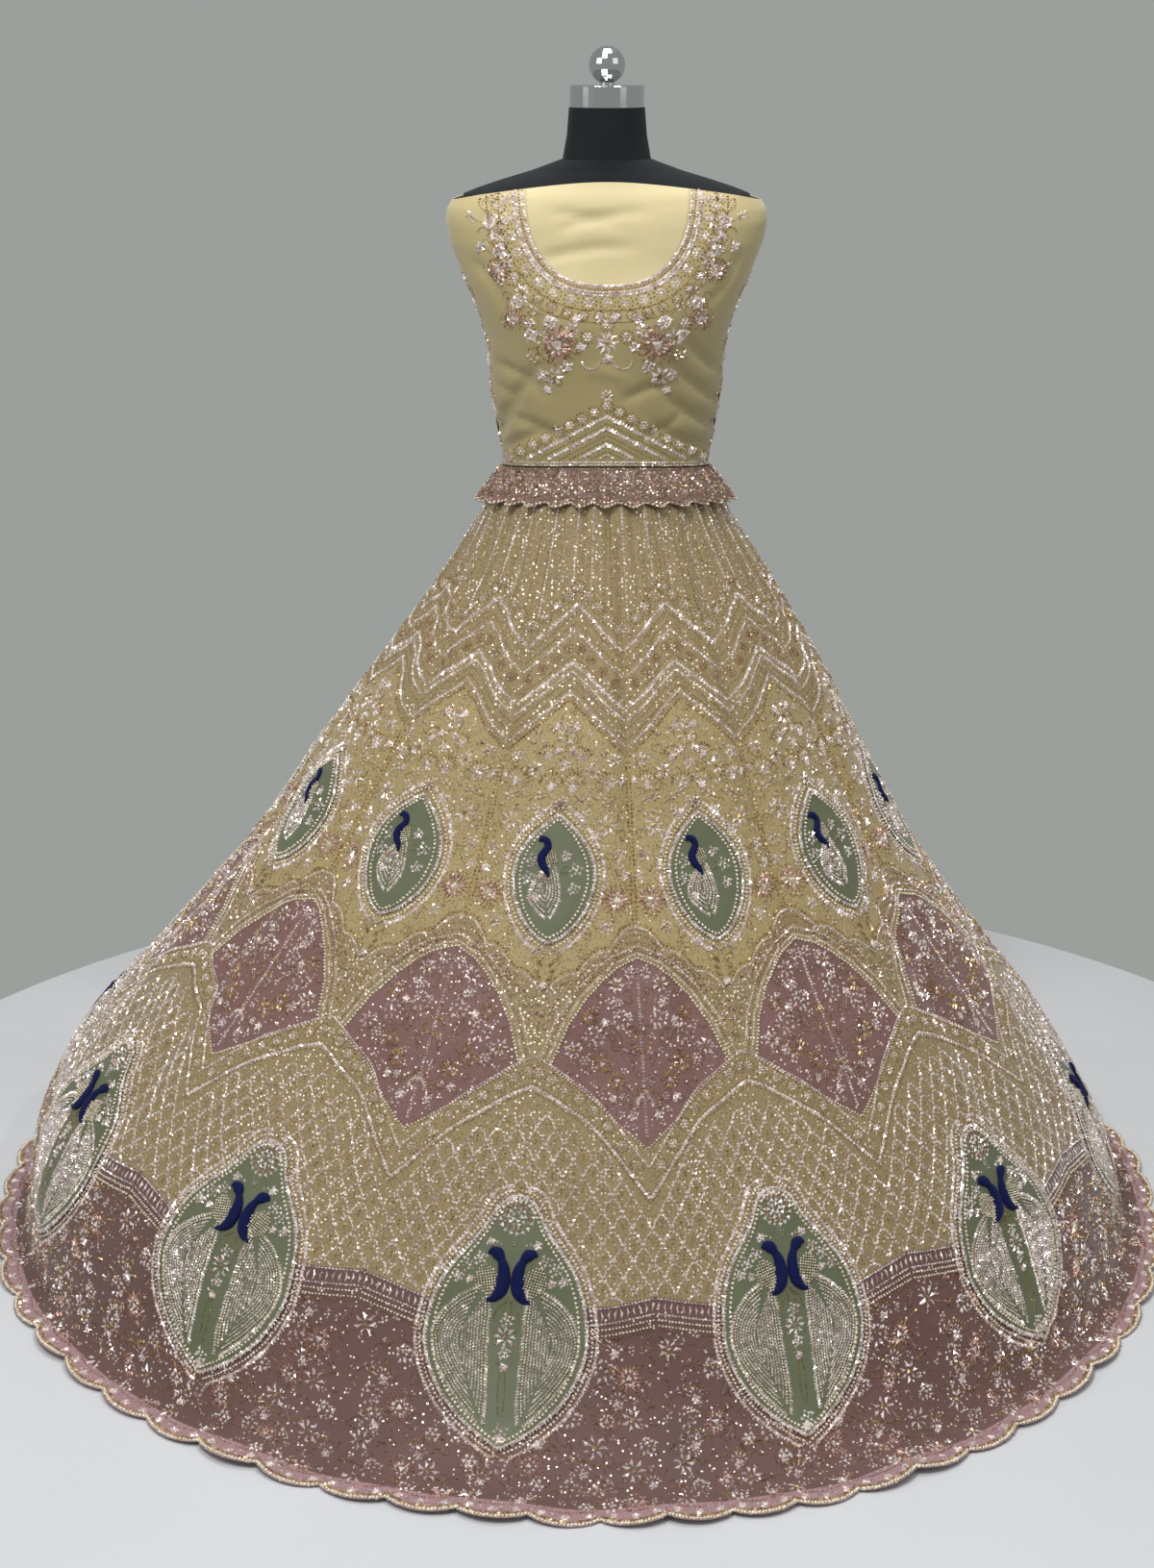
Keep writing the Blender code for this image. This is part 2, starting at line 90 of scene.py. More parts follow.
# %% Camera, floor and light
CAMERA_PLACE = (-0.035, -2.864, 1.45)
CAMERA_PITCH = math.radians(17.51)
CAMERA_LENS = 54.08
SENSOR_WIDTH = 36.0
FLOOR_RADIUS = 1.12
STUDIO_GREY = (0.33, 0.35, 0.335)
LAMPS = (
    # name, place, aim, size, power
    ("key", (-0.8, -1.7, 3.5), (0.0, 0.0, 0.5), 0.8, 46.0),
    ("fill", (2.2, -2.0, 2.0), (0.0, 0.0, 0.5), 1.4, 8.0),
    ("left", (-2.4, -1.3, 1.9), (0.0, 0.0, 0.5), 1.4, 9.0),
    ("top", (0.1, 0.2, 3.2), (0.0, 0.0, 0.4), 1.2, 30.0),
    ("sparkle_left", (-1.0, -1.8, 2.9), (0.0, -0.3, 0.4), 0.1, 12.0),
    ("sparkle_right", (1.2, -1.4, 3.0), (0.0, -0.2, 0.4), 0.1, 11.0),
)


def add_camera():
    lens = bpy.data.cameras.new("camera")
    lens.lens = CAMERA_LENS
    lens.sensor_width = SENSOR_WIDTH
    camera = bpy.data.objects.new("camera", lens)
    camera.location = CAMERA_PLACE
    camera.rotation_euler = (math.pi / 2.0 - CAMERA_PITCH, 0.0, 0.0)
    bpy.context.scene.collection.objects.link(camera)
    bpy.context.scene.camera = camera


def add_light(name, place, aim, size, power):
    lamp = bpy.data.lights.new(name, "AREA")
    lamp.shape = "DISK"
    lamp.size = size
    lamp.energy = power
    light = bpy.data.objects.new(name, lamp)
    direction = np.array(aim) - np.array(place)
    flat = math.hypot(direction[0], direction[1])
    light.location = place
    light.rotation_euler = (
        math.atan2(flat, -direction[2]), 0.0, math.atan2(direction[1], direction[0]) - math.pi / 2.0
    )
    bpy.context.scene.collection.objects.link(light)


def add_world():
    world = bpy.data.worlds.new("studio")
    world.use_nodes = True
    world.node_tree.nodes["Background"].inputs["Color"].default_value = (*STUDIO_GREY, 1.0)
    bpy.context.scene.world = world
    bpy.context.scene.view_settings.view_transform = "Standard"


add_camera()
add_world()
for lamp in LAMPS:
    add_light(*lamp)
print("camera and world are in place, and lamps:", len(LAMPS))

# %% [markdown]
# Materials are written as expressions. A Value wraps one socket, and its operators
# add Math nodes. A Finish is one Principled material, and its node method makes any
# other node: type first, then settings, then the sockets.

# %% Shader expressions
class Value:
    """One socket of a finish, with the arithmetic operators as Math nodes."""

    def __init__(self, finish, socket):
        self.finish = finish
        self.socket = socket

    def math(self, operation, *others):
        inputs = dict(enumerate((self,) + others))
        return self.finish.node("Math", {"operation": operation}, inputs)

    def output(self, index):
        return Value(self.finish, self.socket.node.outputs[index])

    def __add__(self, other):
        return self.math("ADD", other)

    def __sub__(self, other):
        return self.math("SUBTRACT", other)

    def __rsub__(self, other):
        return self.finish.node("Math", {"operation": "SUBTRACT"}, {0: other, 1: self})

    def __mul__(self, other):
        return self.math("MULTIPLY", other)

    def __abs__(self):
        return self.math("ABSOLUTE")

    def __lt__(self, other):
        return self.math("LESS_THAN", other)

    def __gt__(self, other):
        return self.math("GREATER_THAN", other)

    __radd__ = __add__
    __rmul__ = __mul__


class Finish:
    """A Principled material. Fixed values go straight onto the shader's own sockets."""

    def __init__(self, name, fixed):
        self.material = bpy.data.materials.new(name)
        self.material.use_nodes = True
        self.tree = self.material.node_tree
        self.shader = self.tree.nodes["Principled BSDF"]
        for socket, value in fixed.items():
            self.shader.inputs[socket].default_value = value

    def node(self, kind, settings=None, inputs=None):
        made = self.tree.nodes.new("ShaderNode" + kind)
        settings = dict(settings or {})
        stops = settings.pop("stops", None)
        for key, value in settings.items():
            setattr(made, key, value)
        if stops:
            self.fill_ramp(made.color_ramp, stops)
        for key, value in (inputs or {}).items():
            if isinstance(value, Value):
                self.tree.links.new(value.socket, made.inputs[key])
            else:
                made.inputs[key].default_value = value
        return Value(self, made.outputs[0])

    def fill_ramp(self, ramp, stops):
        while len(ramp.elements) < len(stops):
            ramp.elements.new(0.5)
        for element, (place, grey) in zip(ramp.elements, stops):
            element.position = place
            element.color = (grey, grey, grey, 1.0)

    def table(self, value, rows, low, high):
        """Read a short table of (place, number) rows at a value between low and high."""
        stops = [((place - low) / (high - low), number) for place, number in rows]
        return self.node("ValToRGB", {"stops": stops}, {0: (value - low) * (1.0 / (high - low))})

    def blend(self, share, first, second):
        """The second colour where share is 1, the first where it is 0."""
        colours = {}
        for key, colour in ((6, first), (7, second)):
            colours[key] = colour if isinstance(colour, Value) else (*colour, 1.0)
        mixed = self.node("Mix", {"data_type": "RGBA"}, {0: share, **colours})
        return mixed.output(2)

    def noise(self, scale, detail=2.0):
        place = self.node("TexCoord").output(3)
        return self.node("TexNoise", None, {"Vector": place, "Scale": scale, "Detail": detail})

    def cells(self, scale):
        """Distance to scattered points, and a random number for each point."""
        place = self.node("TexCoord").output(3)
        distance = self.node("TexVoronoi", None, {"Vector": place, "Scale": scale})
        chance = self.node("SeparateColor", None, {0: distance.output(1)})
        return distance, chance

    def drive(self, socket, value):
        self.tree.links.new(value.socket, self.shader.inputs[socket])

    def bump(self, height, distance, strength=1.0):
        inputs = {"Height": height, "Distance": distance, "Strength": strength}
        self.drive("Normal", self.node("Bump", None, inputs))


print("shader helpers are ready")

# %% [markdown]
# The floor is one flat round with a very light mottle, so that it doesn't look like
# a bare computer plane but stays out of the way.

# %% Floor
FLOOR_PALE = (0.58, 0.58, 0.61)
FLOOR_PALER = (0.64, 0.64, 0.66)


def add_floor():
    pale = Finish("pale_floor", {"Roughness": 0.55})
    shade = pale.noise(3.0)
    pale.drive("Base Color", pale.blend(shade, FLOOR_PALE, FLOOR_PALER))
    disc = bmesh.new()
    bmesh.ops.create_circle(disc, cap_ends=True, segments=128, radius=FLOOR_RADIUS)
    mesh = bpy.data.meshes.new("floor")
    disc.to_mesh(mesh)
    disc.free()
    mesh.materials.append(pale.material)
    floor = bpy.data.objects.new("floor", mesh)
    bpy.context.scene.collection.objects.link(floor)
    floor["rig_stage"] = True


add_floor()
print("floor radius", FLOOR_RADIUS)

# %% [markdown]
# The skirt is cut from twelve flared panels, so one rule can give its whole outer
# face: a section towards each side, read at a slant distance from the waist, and the
# folds that the gathers at the waist throw into it. The solids follow the same rule.
# The sheets made here add the small creases that a rigid solid leaves out.

# %% The skirt's shape
PANELS = 12
PITCH = 2.0 * math.pi / PANELS
PANEL_TURN = math.radians(5.1)
WAIST_RISE = 0.018
WAIST_RISE_LENGTH = 0.25
HEM_LENGTH = 1.22
LOOSE_FROM = 0.9
FRONT_SPREAD = 0.045
FRONT_SPREAD_LENGTH = 0.4
FLOOR_CLEARANCE = 0.002
RIPPLE_HEIGHT = 0.0022
RIPPLE_FROM = 1.08
RIPPLE_FULL = 1.19
SECTIONS = {
    # each row is radius, height
    "front": (
        (0.1007, 0.951), (0.13, 0.9), (0.198, 0.784), (0.254, 0.683), (0.316, 0.561),
        (0.373, 0.467), (0.447, 0.36), (0.522, 0.252), (0.58, 0.166), (0.631, 0.097),
        (0.681, 0.045), (0.728, 0.013), (0.752, 0.002), (0.802, 0.002),
    ),
    "left": (
        (0.1235, 0.951), (0.153, 0.897), (0.193, 0.837), (0.27, 0.731), (0.349, 0.623),
        (0.418, 0.52), (0.497, 0.425), (0.578, 0.335), (0.655, 0.245), (0.716, 0.165),
        (0.744, 0.095), (0.751, 0.04), (0.755, 0.012), (0.76, 0.002), (0.8, 0.002),
    ),
    "right": (
        (0.1235, 0.951), (0.153, 0.897), (0.195, 0.838), (0.262, 0.728), (0.321, 0.613),
        (0.381, 0.501), (0.451, 0.399), (0.524, 0.304), (0.59, 0.212), (0.636, 0.13),
        (0.664, 0.06), (0.675, 0.016), (0.684, 0.002), (0.728, 0.002),
    ),
    "back": (
        (0.1007, 0.951), (0.127, 0.897), (0.16, 0.838), (0.224, 0.728), (0.286, 0.613),
        (0.348, 0.501), (0.416, 0.399), (0.485, 0.304), (0.548, 0.212), (0.59, 0.13),
        (0.61, 0.06), (0.618, 0.016), (0.625, 0.002), (0.667, 0.002),
    ),
}
FOLD_WIDTH = math.radians(3.1)
FOLD_START = 0.045
FOLD_FULL = 0.13
FOLD_FADE_SHARE = 0.45
FOLDS = (
    # panel angle in degrees, depth, slant where it has faded out
    (0.5, 0.009, 0.74), (10.4, 0.007, 0.38), (19.2, 0.006, 0.33),
    (30.8, 0.01, 0.8), (39.5, 0.0055, 0.3), (50.6, 0.0075, 0.4),
    (59.4, 0.011, 0.86), (70.9, 0.0065, 0.37), (79.3, 0.008, 0.4),
    (90.5, 0.012, 0.84), (100.8, 0.007, 0.36), (109.4, 0.006, 0.4),
    (120.3, 0.0095, 0.78), (129.6, 0.008, 0.34), (140.5, 0.006, 0.38),
    (149.5, 0.0085, 0.72), (160.7, 0.007, 0.4), (169.2, 0.0055, 0.33),
    (180.6, 0.009, 0.76), (190.3, 0.0075, 0.39), (199.6, 0.0065, 0.34),
    (209.7, 0.008, 0.7), (220.8, 0.006, 0.38), (229.5, 0.0075, 0.36),
    (240.4, 0.0095, 0.8), (250.6, 0.007, 0.4), (259.4, 0.006, 0.35),
    (269.6, 0.012, 0.86), (280.5, 0.008, 0.39), (289.6, 0.007, 0.37),
    (300.7, 0.011, 0.84), (310.4, 0.0065, 0.34), (319.3, 0.008, 0.4),
    (329.6, 0.0095, 0.78), (340.6, 0.006, 0.36), (349.4, 0.007, 0.38),
)
CREASE_DEPTH = 1.8
CREASES = (
    # panel angle in degrees, depth, first slant, last slant, width in degrees
    (5.6, 0.003, 0.04, 0.26, 1.1), (14.8, 0.0026, 0.04, 0.22, 1.0), (24.9, 0.0032, 0.04, 0.3, 1.2),
    (35.3, 0.0024, 0.04, 0.24, 1.0), (45.2, 0.0034, 0.04, 0.28, 1.2), (55.1, 0.0026, 0.04, 0.21, 1.0),
    (64.9, 0.003, 0.04, 0.27, 1.1), (75.2, 0.0025, 0.04, 0.23, 1.0), (85.4, 0.0034, 0.04, 0.31, 1.2),
    (104.6, 0.0028, 0.04, 0.25, 1.1), (125.4, 0.003, 0.04, 0.28, 1.1), (145.1, 0.0026, 0.04, 0.24, 1.0),
    (165.2, 0.003, 0.04, 0.27, 1.1), (185.3, 0.0028, 0.04, 0.23, 1.1), (205.0, 0.0032, 0.04, 0.29, 1.1),
    (225.2, 0.0026, 0.04, 0.24, 1.0), (245.5, 0.003, 0.04, 0.28, 1.1), (264.8, 0.0028, 0.04, 0.25, 1.1),
    (275.3, 0.0032, 0.04, 0.3, 1.2), (285.0, 0.0025, 0.04, 0.22, 1.0), (295.4, 0.0032, 0.04, 0.29, 1.1),
    (305.6, 0.0026, 0.04, 0.24, 1.0), (315.0, 0.0034, 0.04, 0.27, 1.2), (325.3, 0.0025, 0.04, 0.22, 1.0),
    (335.2, 0.0032, 0.04, 0.3, 1.1), (345.2, 0.0027, 0.04, 0.25, 1.0), (355.0, 0.003, 0.04, 0.27, 1.1),
    (8.0, 0.004, 0.56, 1.04, 2.4), (22.5, -0.003, 0.62, 1.1, 2.8), (52.0, 0.0044, 0.5, 0.98, 2.2),
    (68.0, -0.0034, 0.6, 1.12, 2.6), (84.0, 0.004, 0.66, 1.15, 2.4), (112.0, 0.004, 0.58, 1.05, 2.6),
    (133.0, -0.0034, 0.6, 1.08, 2.8), (158.0, 0.0044, 0.52, 1.02, 2.4), (196.0, 0.004, 0.6, 1.1, 2.6),
    (217.0, -0.0034, 0.64, 1.06, 2.8), (238.0, 0.0044, 0.55, 1.0, 2.4), (262.0, 0.0036, 0.62, 1.14, 2.4),
    (277.0, -0.0034, 0.58, 1.08, 2.6), (292.0, 0.0048, 0.5, 1.1, 2.2), (308.0, -0.0032, 0.64, 1.12, 2.8),
    (322.5, 0.0044, 0.54, 1.02, 2.4), (338.0, -0.003, 0.6, 1.08, 2.8), (352.0, 0.004, 0.62, 1.1, 2.4),
)
print("folds and creases:", len(FOLDS), len(CREASES))

# %% [markdown]
# A section is a smooth curve through a few points. It is read by the length along it,
# so the cloth keeps its length wherever the curve bends.

# %% Sections
def smooth_curve(points, steps=60):
    """A smooth curve through the points, with its length at each sample."""
    knots = np.array(points)
    chord = np.r_[0.0, np.cumsum(np.linalg.norm(np.diff(knots, axis=0), axis=1))]
    slopes = np.gradient(knots, chord, axis=0)
    samples = []
    for i in range(len(knots) - 1):
        span = chord[i + 1] - chord[i]
        t = np.linspace(0.0, 1.0, steps, endpoint=False)[:, None]
        samples.append(
            (2 * t ** 3 - 3 * t ** 2 + 1) * knots[i]
            + (t ** 3 - 2 * t ** 2 + t) * span * slopes[i]
            + (3 * t ** 2 - 2 * t ** 3) * knots[i + 1]
            + (t ** 3 - t ** 2) * span * slopes[i + 1]
        )
    curve = np.vstack(samples + [knots[-1:]])
    length = np.r_[0.0, np.cumsum(np.linalg.norm(np.diff(curve, axis=0), axis=1))]
    return length, curve[:, 0], curve[:, 1]


class Section:
    """One of the skirt's sections, read at a slant distance from the waist."""

    def __init__(self, points):
        self.length, self.radii, self.heights = smooth_curve(points)

    def along(self, slant):
        return np.interp(slant, (0.0, LOOSE_FROM, HEM_LENGTH), (0.0, LOOSE_FROM, self.length[-1]))

    def radius(self, slant):
        return np.interp(self.along(slant), self.length, self.radii)

    def height(self, slant):
        return np.interp(self.along(slant), self.length, self.heights)


FRONT, LEFT, RIGHT, BACK = [Section(SECTIONS[side]) for side in ("front", "left", "right", "back")]
print("cloth down the front is", round(float(FRONT.length[-1]), 3), "long")

# %% [markdown]
# Folds and creases are soft troughs, and a few wide creases are ridges. Each is a bell
# curve across, which fades in at its upper end and out again towards its lower end.

# %% Folds and creases
def ease(value, start, end):
    """0 before start, 1 after end, and a soft turn between."""
    t = np.clip((value - start) / (end - start), 0.0, 1.0)
    return t * t * (3.0 - 2.0 * t)


def front_rise(angle):
    """How far the waist line climbs towards the front."""
    return WAIST_RISE * ((1.0 + np.cos(angle)) / 2.0) ** 2


def away_from(panel_angle, degrees):
    return (panel_angle - math.radians(degrees) + math.pi) % (2.0 * math.pi) - math.pi


def drawn_in(panel_angle, slant):
    """How far the folds and creases draw the cloth in at a point."""
    depth = np.zeros(np.broadcast(panel_angle, slant).shape)
    for degrees, deep, end in FOLDS:
        fade = ease(slant, FOLD_START, FOLD_FULL) * (1.0 - ease(slant, FOLD_FADE_SHARE * end, end))
        depth = depth + deep * fade * np.exp(-((away_from(panel_angle, degrees) / FOLD_WIDTH) ** 2))
    for degrees, deep, first, last, width in CREASES:
        middle = (first + last) / 2.0
        fade = ease(slant, first, first + 0.3 * (middle - first)) * (1.0 - ease(slant, middle, last))
        across = away_from(panel_angle, degrees) / math.radians(width)
        depth = depth + CREASE_DEPTH * deep * fade * np.exp(-(across ** 2))
    return depth


def hem_ripple(panel_angle, slant):
    """Low ripples of the cloth that lies on the floor."""
    wave = np.sin(17.0 * panel_angle + 0.6) + 0.7 * np.sin(29.0 * panel_angle + 2.1)
    return RIPPLE_HEIGHT * (wave + 1.7) * ease(slant, RIPPLE_FROM, RIPPLE_FULL)


print("deepest trough", round(float(drawn_in(np.linspace(0.0, 2.0 * math.pi, 721), 0.2).max()), 4))

# %% [markdown]
# A point of the skirt is a blend of the side's section and the front's or the back's,
# round an oval. Its directions across, down and outwards come from its neighbours.

# %% Points of the skirt
def skirt_point(panel_angle, slant):
    """The skirt's outer face at a panel angle and a slant distance from the waist."""
    angle = panel_angle + PANEL_TURN
    angle = angle - FRONT_SPREAD * np.sin(2.0 * angle) * ease(slant, 0.0, FRONT_SPREAD_LENGTH)
    sine = np.sin(angle)
    cosine = np.cos(angle)
    inward = drawn_in(panel_angle, slant)
    along_x = np.where(sine > 0.0, RIGHT.radius(slant), LEFT.radius(slant)) - inward
    along_y = np.where(cosine > 0.0, FRONT.radius(slant), BACK.radius(slant)) - inward
    side_height = np.where(sine > 0.0, RIGHT.height(slant), LEFT.height(slant))
    face_height = np.where(cosine > 0.0, FRONT.height(slant), BACK.height(slant))
    height = side_height * sine ** 2 + face_height * cosine ** 2
    height = height + front_rise(angle) * (1.0 - ease(slant, 0.0, WAIST_RISE_LENGTH))
    height = np.maximum(height, FLOOR_CLEARANCE) + hem_ripple(panel_angle, slant)
    return np.stack(np.broadcast_arrays(along_x * sine, -along_y * cosine, height), axis=-1)


def frame_at(surface, across, down, step_across, step_down):
    """A point of a surface with its unit directions across, down and outwards."""
    right = surface(across + step_across, down) - surface(across - step_across, down)
    below = surface(across, down + step_down) - surface(across, down - step_down)
    right = right / np.linalg.norm(right, axis=-1, keepdims=True)
    below = below / np.linalg.norm(below, axis=-1, keepdims=True)
    outward = np.cross(below, right)
    outward = outward / np.linalg.norm(outward, axis=-1, keepdims=True)
    return surface(across, down), right, below, outward


def panel_width(slant):
    """The mean width of a panel at a slant distance from the waist."""
    return PITCH * (FRONT.radius(slant) + LEFT.radius(slant) + RIGHT.radius(slant)) / 3.0


print("panel width at waist, knee and hem", [round(float(panel_width(s)), 3) for s in (0.05, 0.6, 1.18)])

# %% [markdown]
# Every sheet of cloth starts as a plain grid. Its points are moved to the shape by a
# rule, and a Solidify modifier gives the thickness inwards. The grid keeps a UV map
# named plan: across the piece, and down it in metres. The patterns read that map, so
# they follow the cloth into its folds.

# %% Sheets of cloth
CLOTH_THICKNESS = 0.0008


def link(name, mesh, finishes):
    for finish in finishes:
        mesh.materials.append(finish.material)
    piece = bpy.data.objects.new(name, mesh)
    bpy.context.scene.collection.objects.link(piece)
    return piece


def cloth_sheet(name, columns, rows, place, finish, ring=False):
    """A grid whose points a rule places. The rule gives the points and their plan."""
    cloth = bmesh.new()
    bmesh.ops.create_grid(cloth, x_segments=columns, y_segments=rows, size=0.5)
    share = np.array([vertex.co[:2] for vertex in cloth.verts]) + 0.5
    points, plan = place(share[:, 0], 1.0 - share[:, 1])
    layer = cloth.loops.layers.uv.new("plan")
    cloth.verts.index_update()
    for face in cloth.faces:
        face.smooth = True
        for loop in face.loops:
            loop[layer].uv = plan[loop.vert.index]
    for vertex, point in zip(cloth.verts, points):
        vertex.co = point
    if ring:
        bmesh.ops.remove_doubles(cloth, verts=cloth.verts[:], dist=1e-6)
    for edge in cloth.edges:
        edge.smooth = not edge.is_boundary
    area = sum(face.calc_area() for face in cloth.faces)
    mesh = bpy.data.meshes.new(name)
    cloth.to_mesh(mesh)
    cloth.free()
    piece = link(name, mesh, [finish])
    wall = piece.modifiers.new("thickness", "SOLIDIFY")
    wall.thickness = CLOTH_THICKNESS
    wall.offset = -1.0
    return piece, area


def declare(piece, node, flat, area, with_pieces):
    """Attach the piece to the body and hide the frame's solid that it stands for."""
    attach(piece, BODY)
    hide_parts(node)
    min(area, flat[0] * flat[1])


print("cloth thickness", CLOTH_THICKNESS)

# %% [markdown]
# The embroidery is planned on a flat pattern first, as a maker draws it on paper.
# A plan is a list of beads: where each lies across and down the piece, which way it
# points, its length and width, and its kind. Lines, flowers, leaves and fans are
# small functions that add beads to a plan.

# %% The embroidery plan
SILVER, GOLD, ROSE, PEARL = range(4)
UPRIGHT = math.pi / 2.0
# Rows of beads: spacing, length, width, kind
SEQUIN_STRIPE = (0.0042, 0.0052, 0.0038, SILVER)
SPACED_STRIPE = (0.0078, 0.0034, 0.003, SILVER)
GOLD_STRIPE = (0.0032, 0.002, 0.0018, GOLD)
WIDE_POINT = (0.0042, 0.0064, 0.0064, SILVER)
THIN_POINT = (0.0042, 0.0058, 0.0044, SILVER)
FINE_POINT = (0.0032, 0.002, 0.0017, GOLD)
WIDE_GOLD = (0.0046, 0.0048, 0.0046, GOLD)
ARCH_SEQUINS = (0.004, 0.005, 0.0036, SILVER)
BAND_GOLD = (0.0032, 0.0022, 0.002, GOLD)
LADDER_RAIL = (0.0042, 0.0046, 0.0034, SILVER)
LADDER_PEARLS = (0.0042, 0.004, 0.004, PEARL)
HEM_SEQUINS = (0.004, 0.0056, 0.0052, SILVER)
HEM_GOLD = (0.0034, 0.0022, 0.0018, GOLD)
HEM_ROSE = (0.0034, 0.0022, 0.0018, ROSE)


class Plan:
    """Beads on a flat pattern. width_at gives the metres in one unit across."""

    def __init__(self, width_at):
        self.width_at = width_at
        self.rows = []

    def beads(self, across, down, turn, length, width, kind):
        row = np.broadcast_arrays(across, down, turn, length, width, float(kind))
        self.rows.append(np.stack([np.ravel(column) for column in row], axis=1))

    def near(self, origin, x, y):
        """Pattern coordinates of a point x to the right of and y above an origin."""
        down = origin[1] - np.asarray(y, dtype=float)
        return origin[0] + np.asarray(x, dtype=float) / self.width_at(down), down

    def line(self, across, down, spacing, length, width, kind, slope=0.0):
        """Beads along a line on the pattern."""
        across = np.asarray(across, dtype=float)
        down = np.asarray(down, dtype=float)
        middle = self.width_at((down[1:] + down[:-1]) / 2.0)
        steps = np.hypot(np.diff(across) * middle, np.diff(down))
        travelled = np.r_[0.0, np.cumsum(steps)]
        count = max(int(travelled[-1] / spacing), 1)
        marks = (np.arange(count) + 0.5) * travelled[-1] / count
        index = np.clip(np.searchsorted(travelled, marks) - 1, 0, len(steps) - 1)
        turn = np.arctan2(-np.diff(down), np.diff(across) * middle)[index]
        self.beads(
            np.interp(marks, travelled, across), np.interp(marks, travelled, down),
            turn + slope, length, width, kind
        )

    def curve(self, origin, points, spacing, length, width, kind, slope=0.0):
        """Beads along a smooth curve through points given in metres round an origin."""
        x, y = smooth_curve(points, steps=8)[1:]
        across, down = self.near(origin, x, y)
        self.line(across, down, spacing, length, width, kind, slope)

    def ring(self, origin, radius, count, size, kind, start=0.0):
        angle = start + np.arange(count) * 2.0 * math.pi / count
        across, down = self.near(origin, radius * np.cos(angle), radius * np.sin(angle))
        self.beads(across, down, angle, size, size, kind)

    def all(self):
        return np.vstack(self.rows)


print("kinds of bead:", SILVER, GOLD, ROSE, PEARL)

# %% Flowers, leaves and curls
def daisy(plan, origin, radius, petals, petal_kind, heart_kind):
    """Long petals round a bead."""
    angle = np.arange(petals) * 2.0 * math.pi / petals
    reach = 0.62 * radius
    across, down = plan.near(origin, reach * np.cos(angle), reach * np.sin(angle))
    width = min(2.0 * math.pi * reach / petals * 0.8, 0.0045)
    plan.beads(across, down, angle, 0.72 * radius, width, petal_kind)
    plan.beads(*origin, 0.0, 0.5 * radius, 0.5 * radius, heart_kind)


def rosette(plan, origin, radius, kind=SILVER):
    """A tight round flower of sequins in a ring of small gold beads."""
    plan.beads(*origin, 0.3, 0.55 * radius, 0.55 * radius, kind)
    plan.ring(origin, 0.48 * radius, 6, 0.46 * radius, kind)
    plan.ring(origin, 0.95 * radius, 11, 0.0024, GOLD, 0.2)


def cluster(plan, origin, radius):
    """A loose heap of nine sequins on a sunflower spiral."""
    count = np.arange(9)
    angle = 2.4 * count
    reach = radius * np.sqrt((count + 0.3) / 9.0)
    across, down = plan.near(origin, reach * np.cos(angle), reach * np.sin(angle))
    plan.beads(across, down, angle, 0.005, 0.0045, SILVER)


def fan(plan, origin, radius):
    """A shell flower: two rows of rays over a silver heart."""
    for share, kind, count in ((0.8, GOLD, 9), (0.48, SILVER, 6)):
        angle = UPRIGHT + np.linspace(-1.35, 1.35, count)
        across, down = plan.near(origin, share * radius * np.cos(angle), share * radius * np.sin(angle))
        plan.beads(across, down, angle, 0.36 * radius, 0.0026, kind)
    cluster(plan, plan.near(origin, 0.0, -0.15 * radius), 0.3 * radius)


def leaf(plan, origin, length, turn, kind=GOLD):
    """A leaf in outline with a vein."""
    along = np.linspace(0.0, length, 7)
    belly = 0.26 * length * np.sin(math.pi * along / length) ** 0.8
    for side in (-1.0, 0.0, 1.0):
        x = along * math.cos(turn) - side * belly * math.sin(turn)
        y = along * math.sin(turn) + side * belly * math.cos(turn)
        across, down = plan.near(origin, x, y)
        plan.line(across, down, 0.0028, 0.0022, 0.0016, SILVER if side == 0.0 else kind)


def sprig(plan, origin, length, turn):
    """A bent stem with three pairs of marquise leaves and a bud."""
    along = np.linspace(0.0, length, 8)
    bend = 0.12 * length * np.sin(math.pi * along / length)
    x = along * math.cos(turn) - bend * math.sin(turn)
    y = along * math.sin(turn) + bend * math.cos(turn)
    across, down = plan.near(origin, x, y)
    plan.line(across, down, 0.0026, 0.0022, 0.0015, GOLD)
    for step in (3, 5, 7):
        for side in (-0.8, 0.8):
            place = plan.near(origin, x[step] + 0.0035 * math.cos(turn + side),
                              y[step] + 0.0035 * math.sin(turn + side))
            plan.beads(*place, turn + side, 0.0062, 0.003, SILVER)


def curl(plan, origin, radius, side=1.0):
    """A small spiral tendril."""
    angle = np.linspace(0.0, 4.6, 14)
    reach = radius * (1.0 - 0.14 * angle)
    across, down = plan.near(origin, side * reach * np.cos(angle), reach * np.sin(angle))
    plan.line(across, down, 0.0025, 0.0021, 0.0015, GOLD)


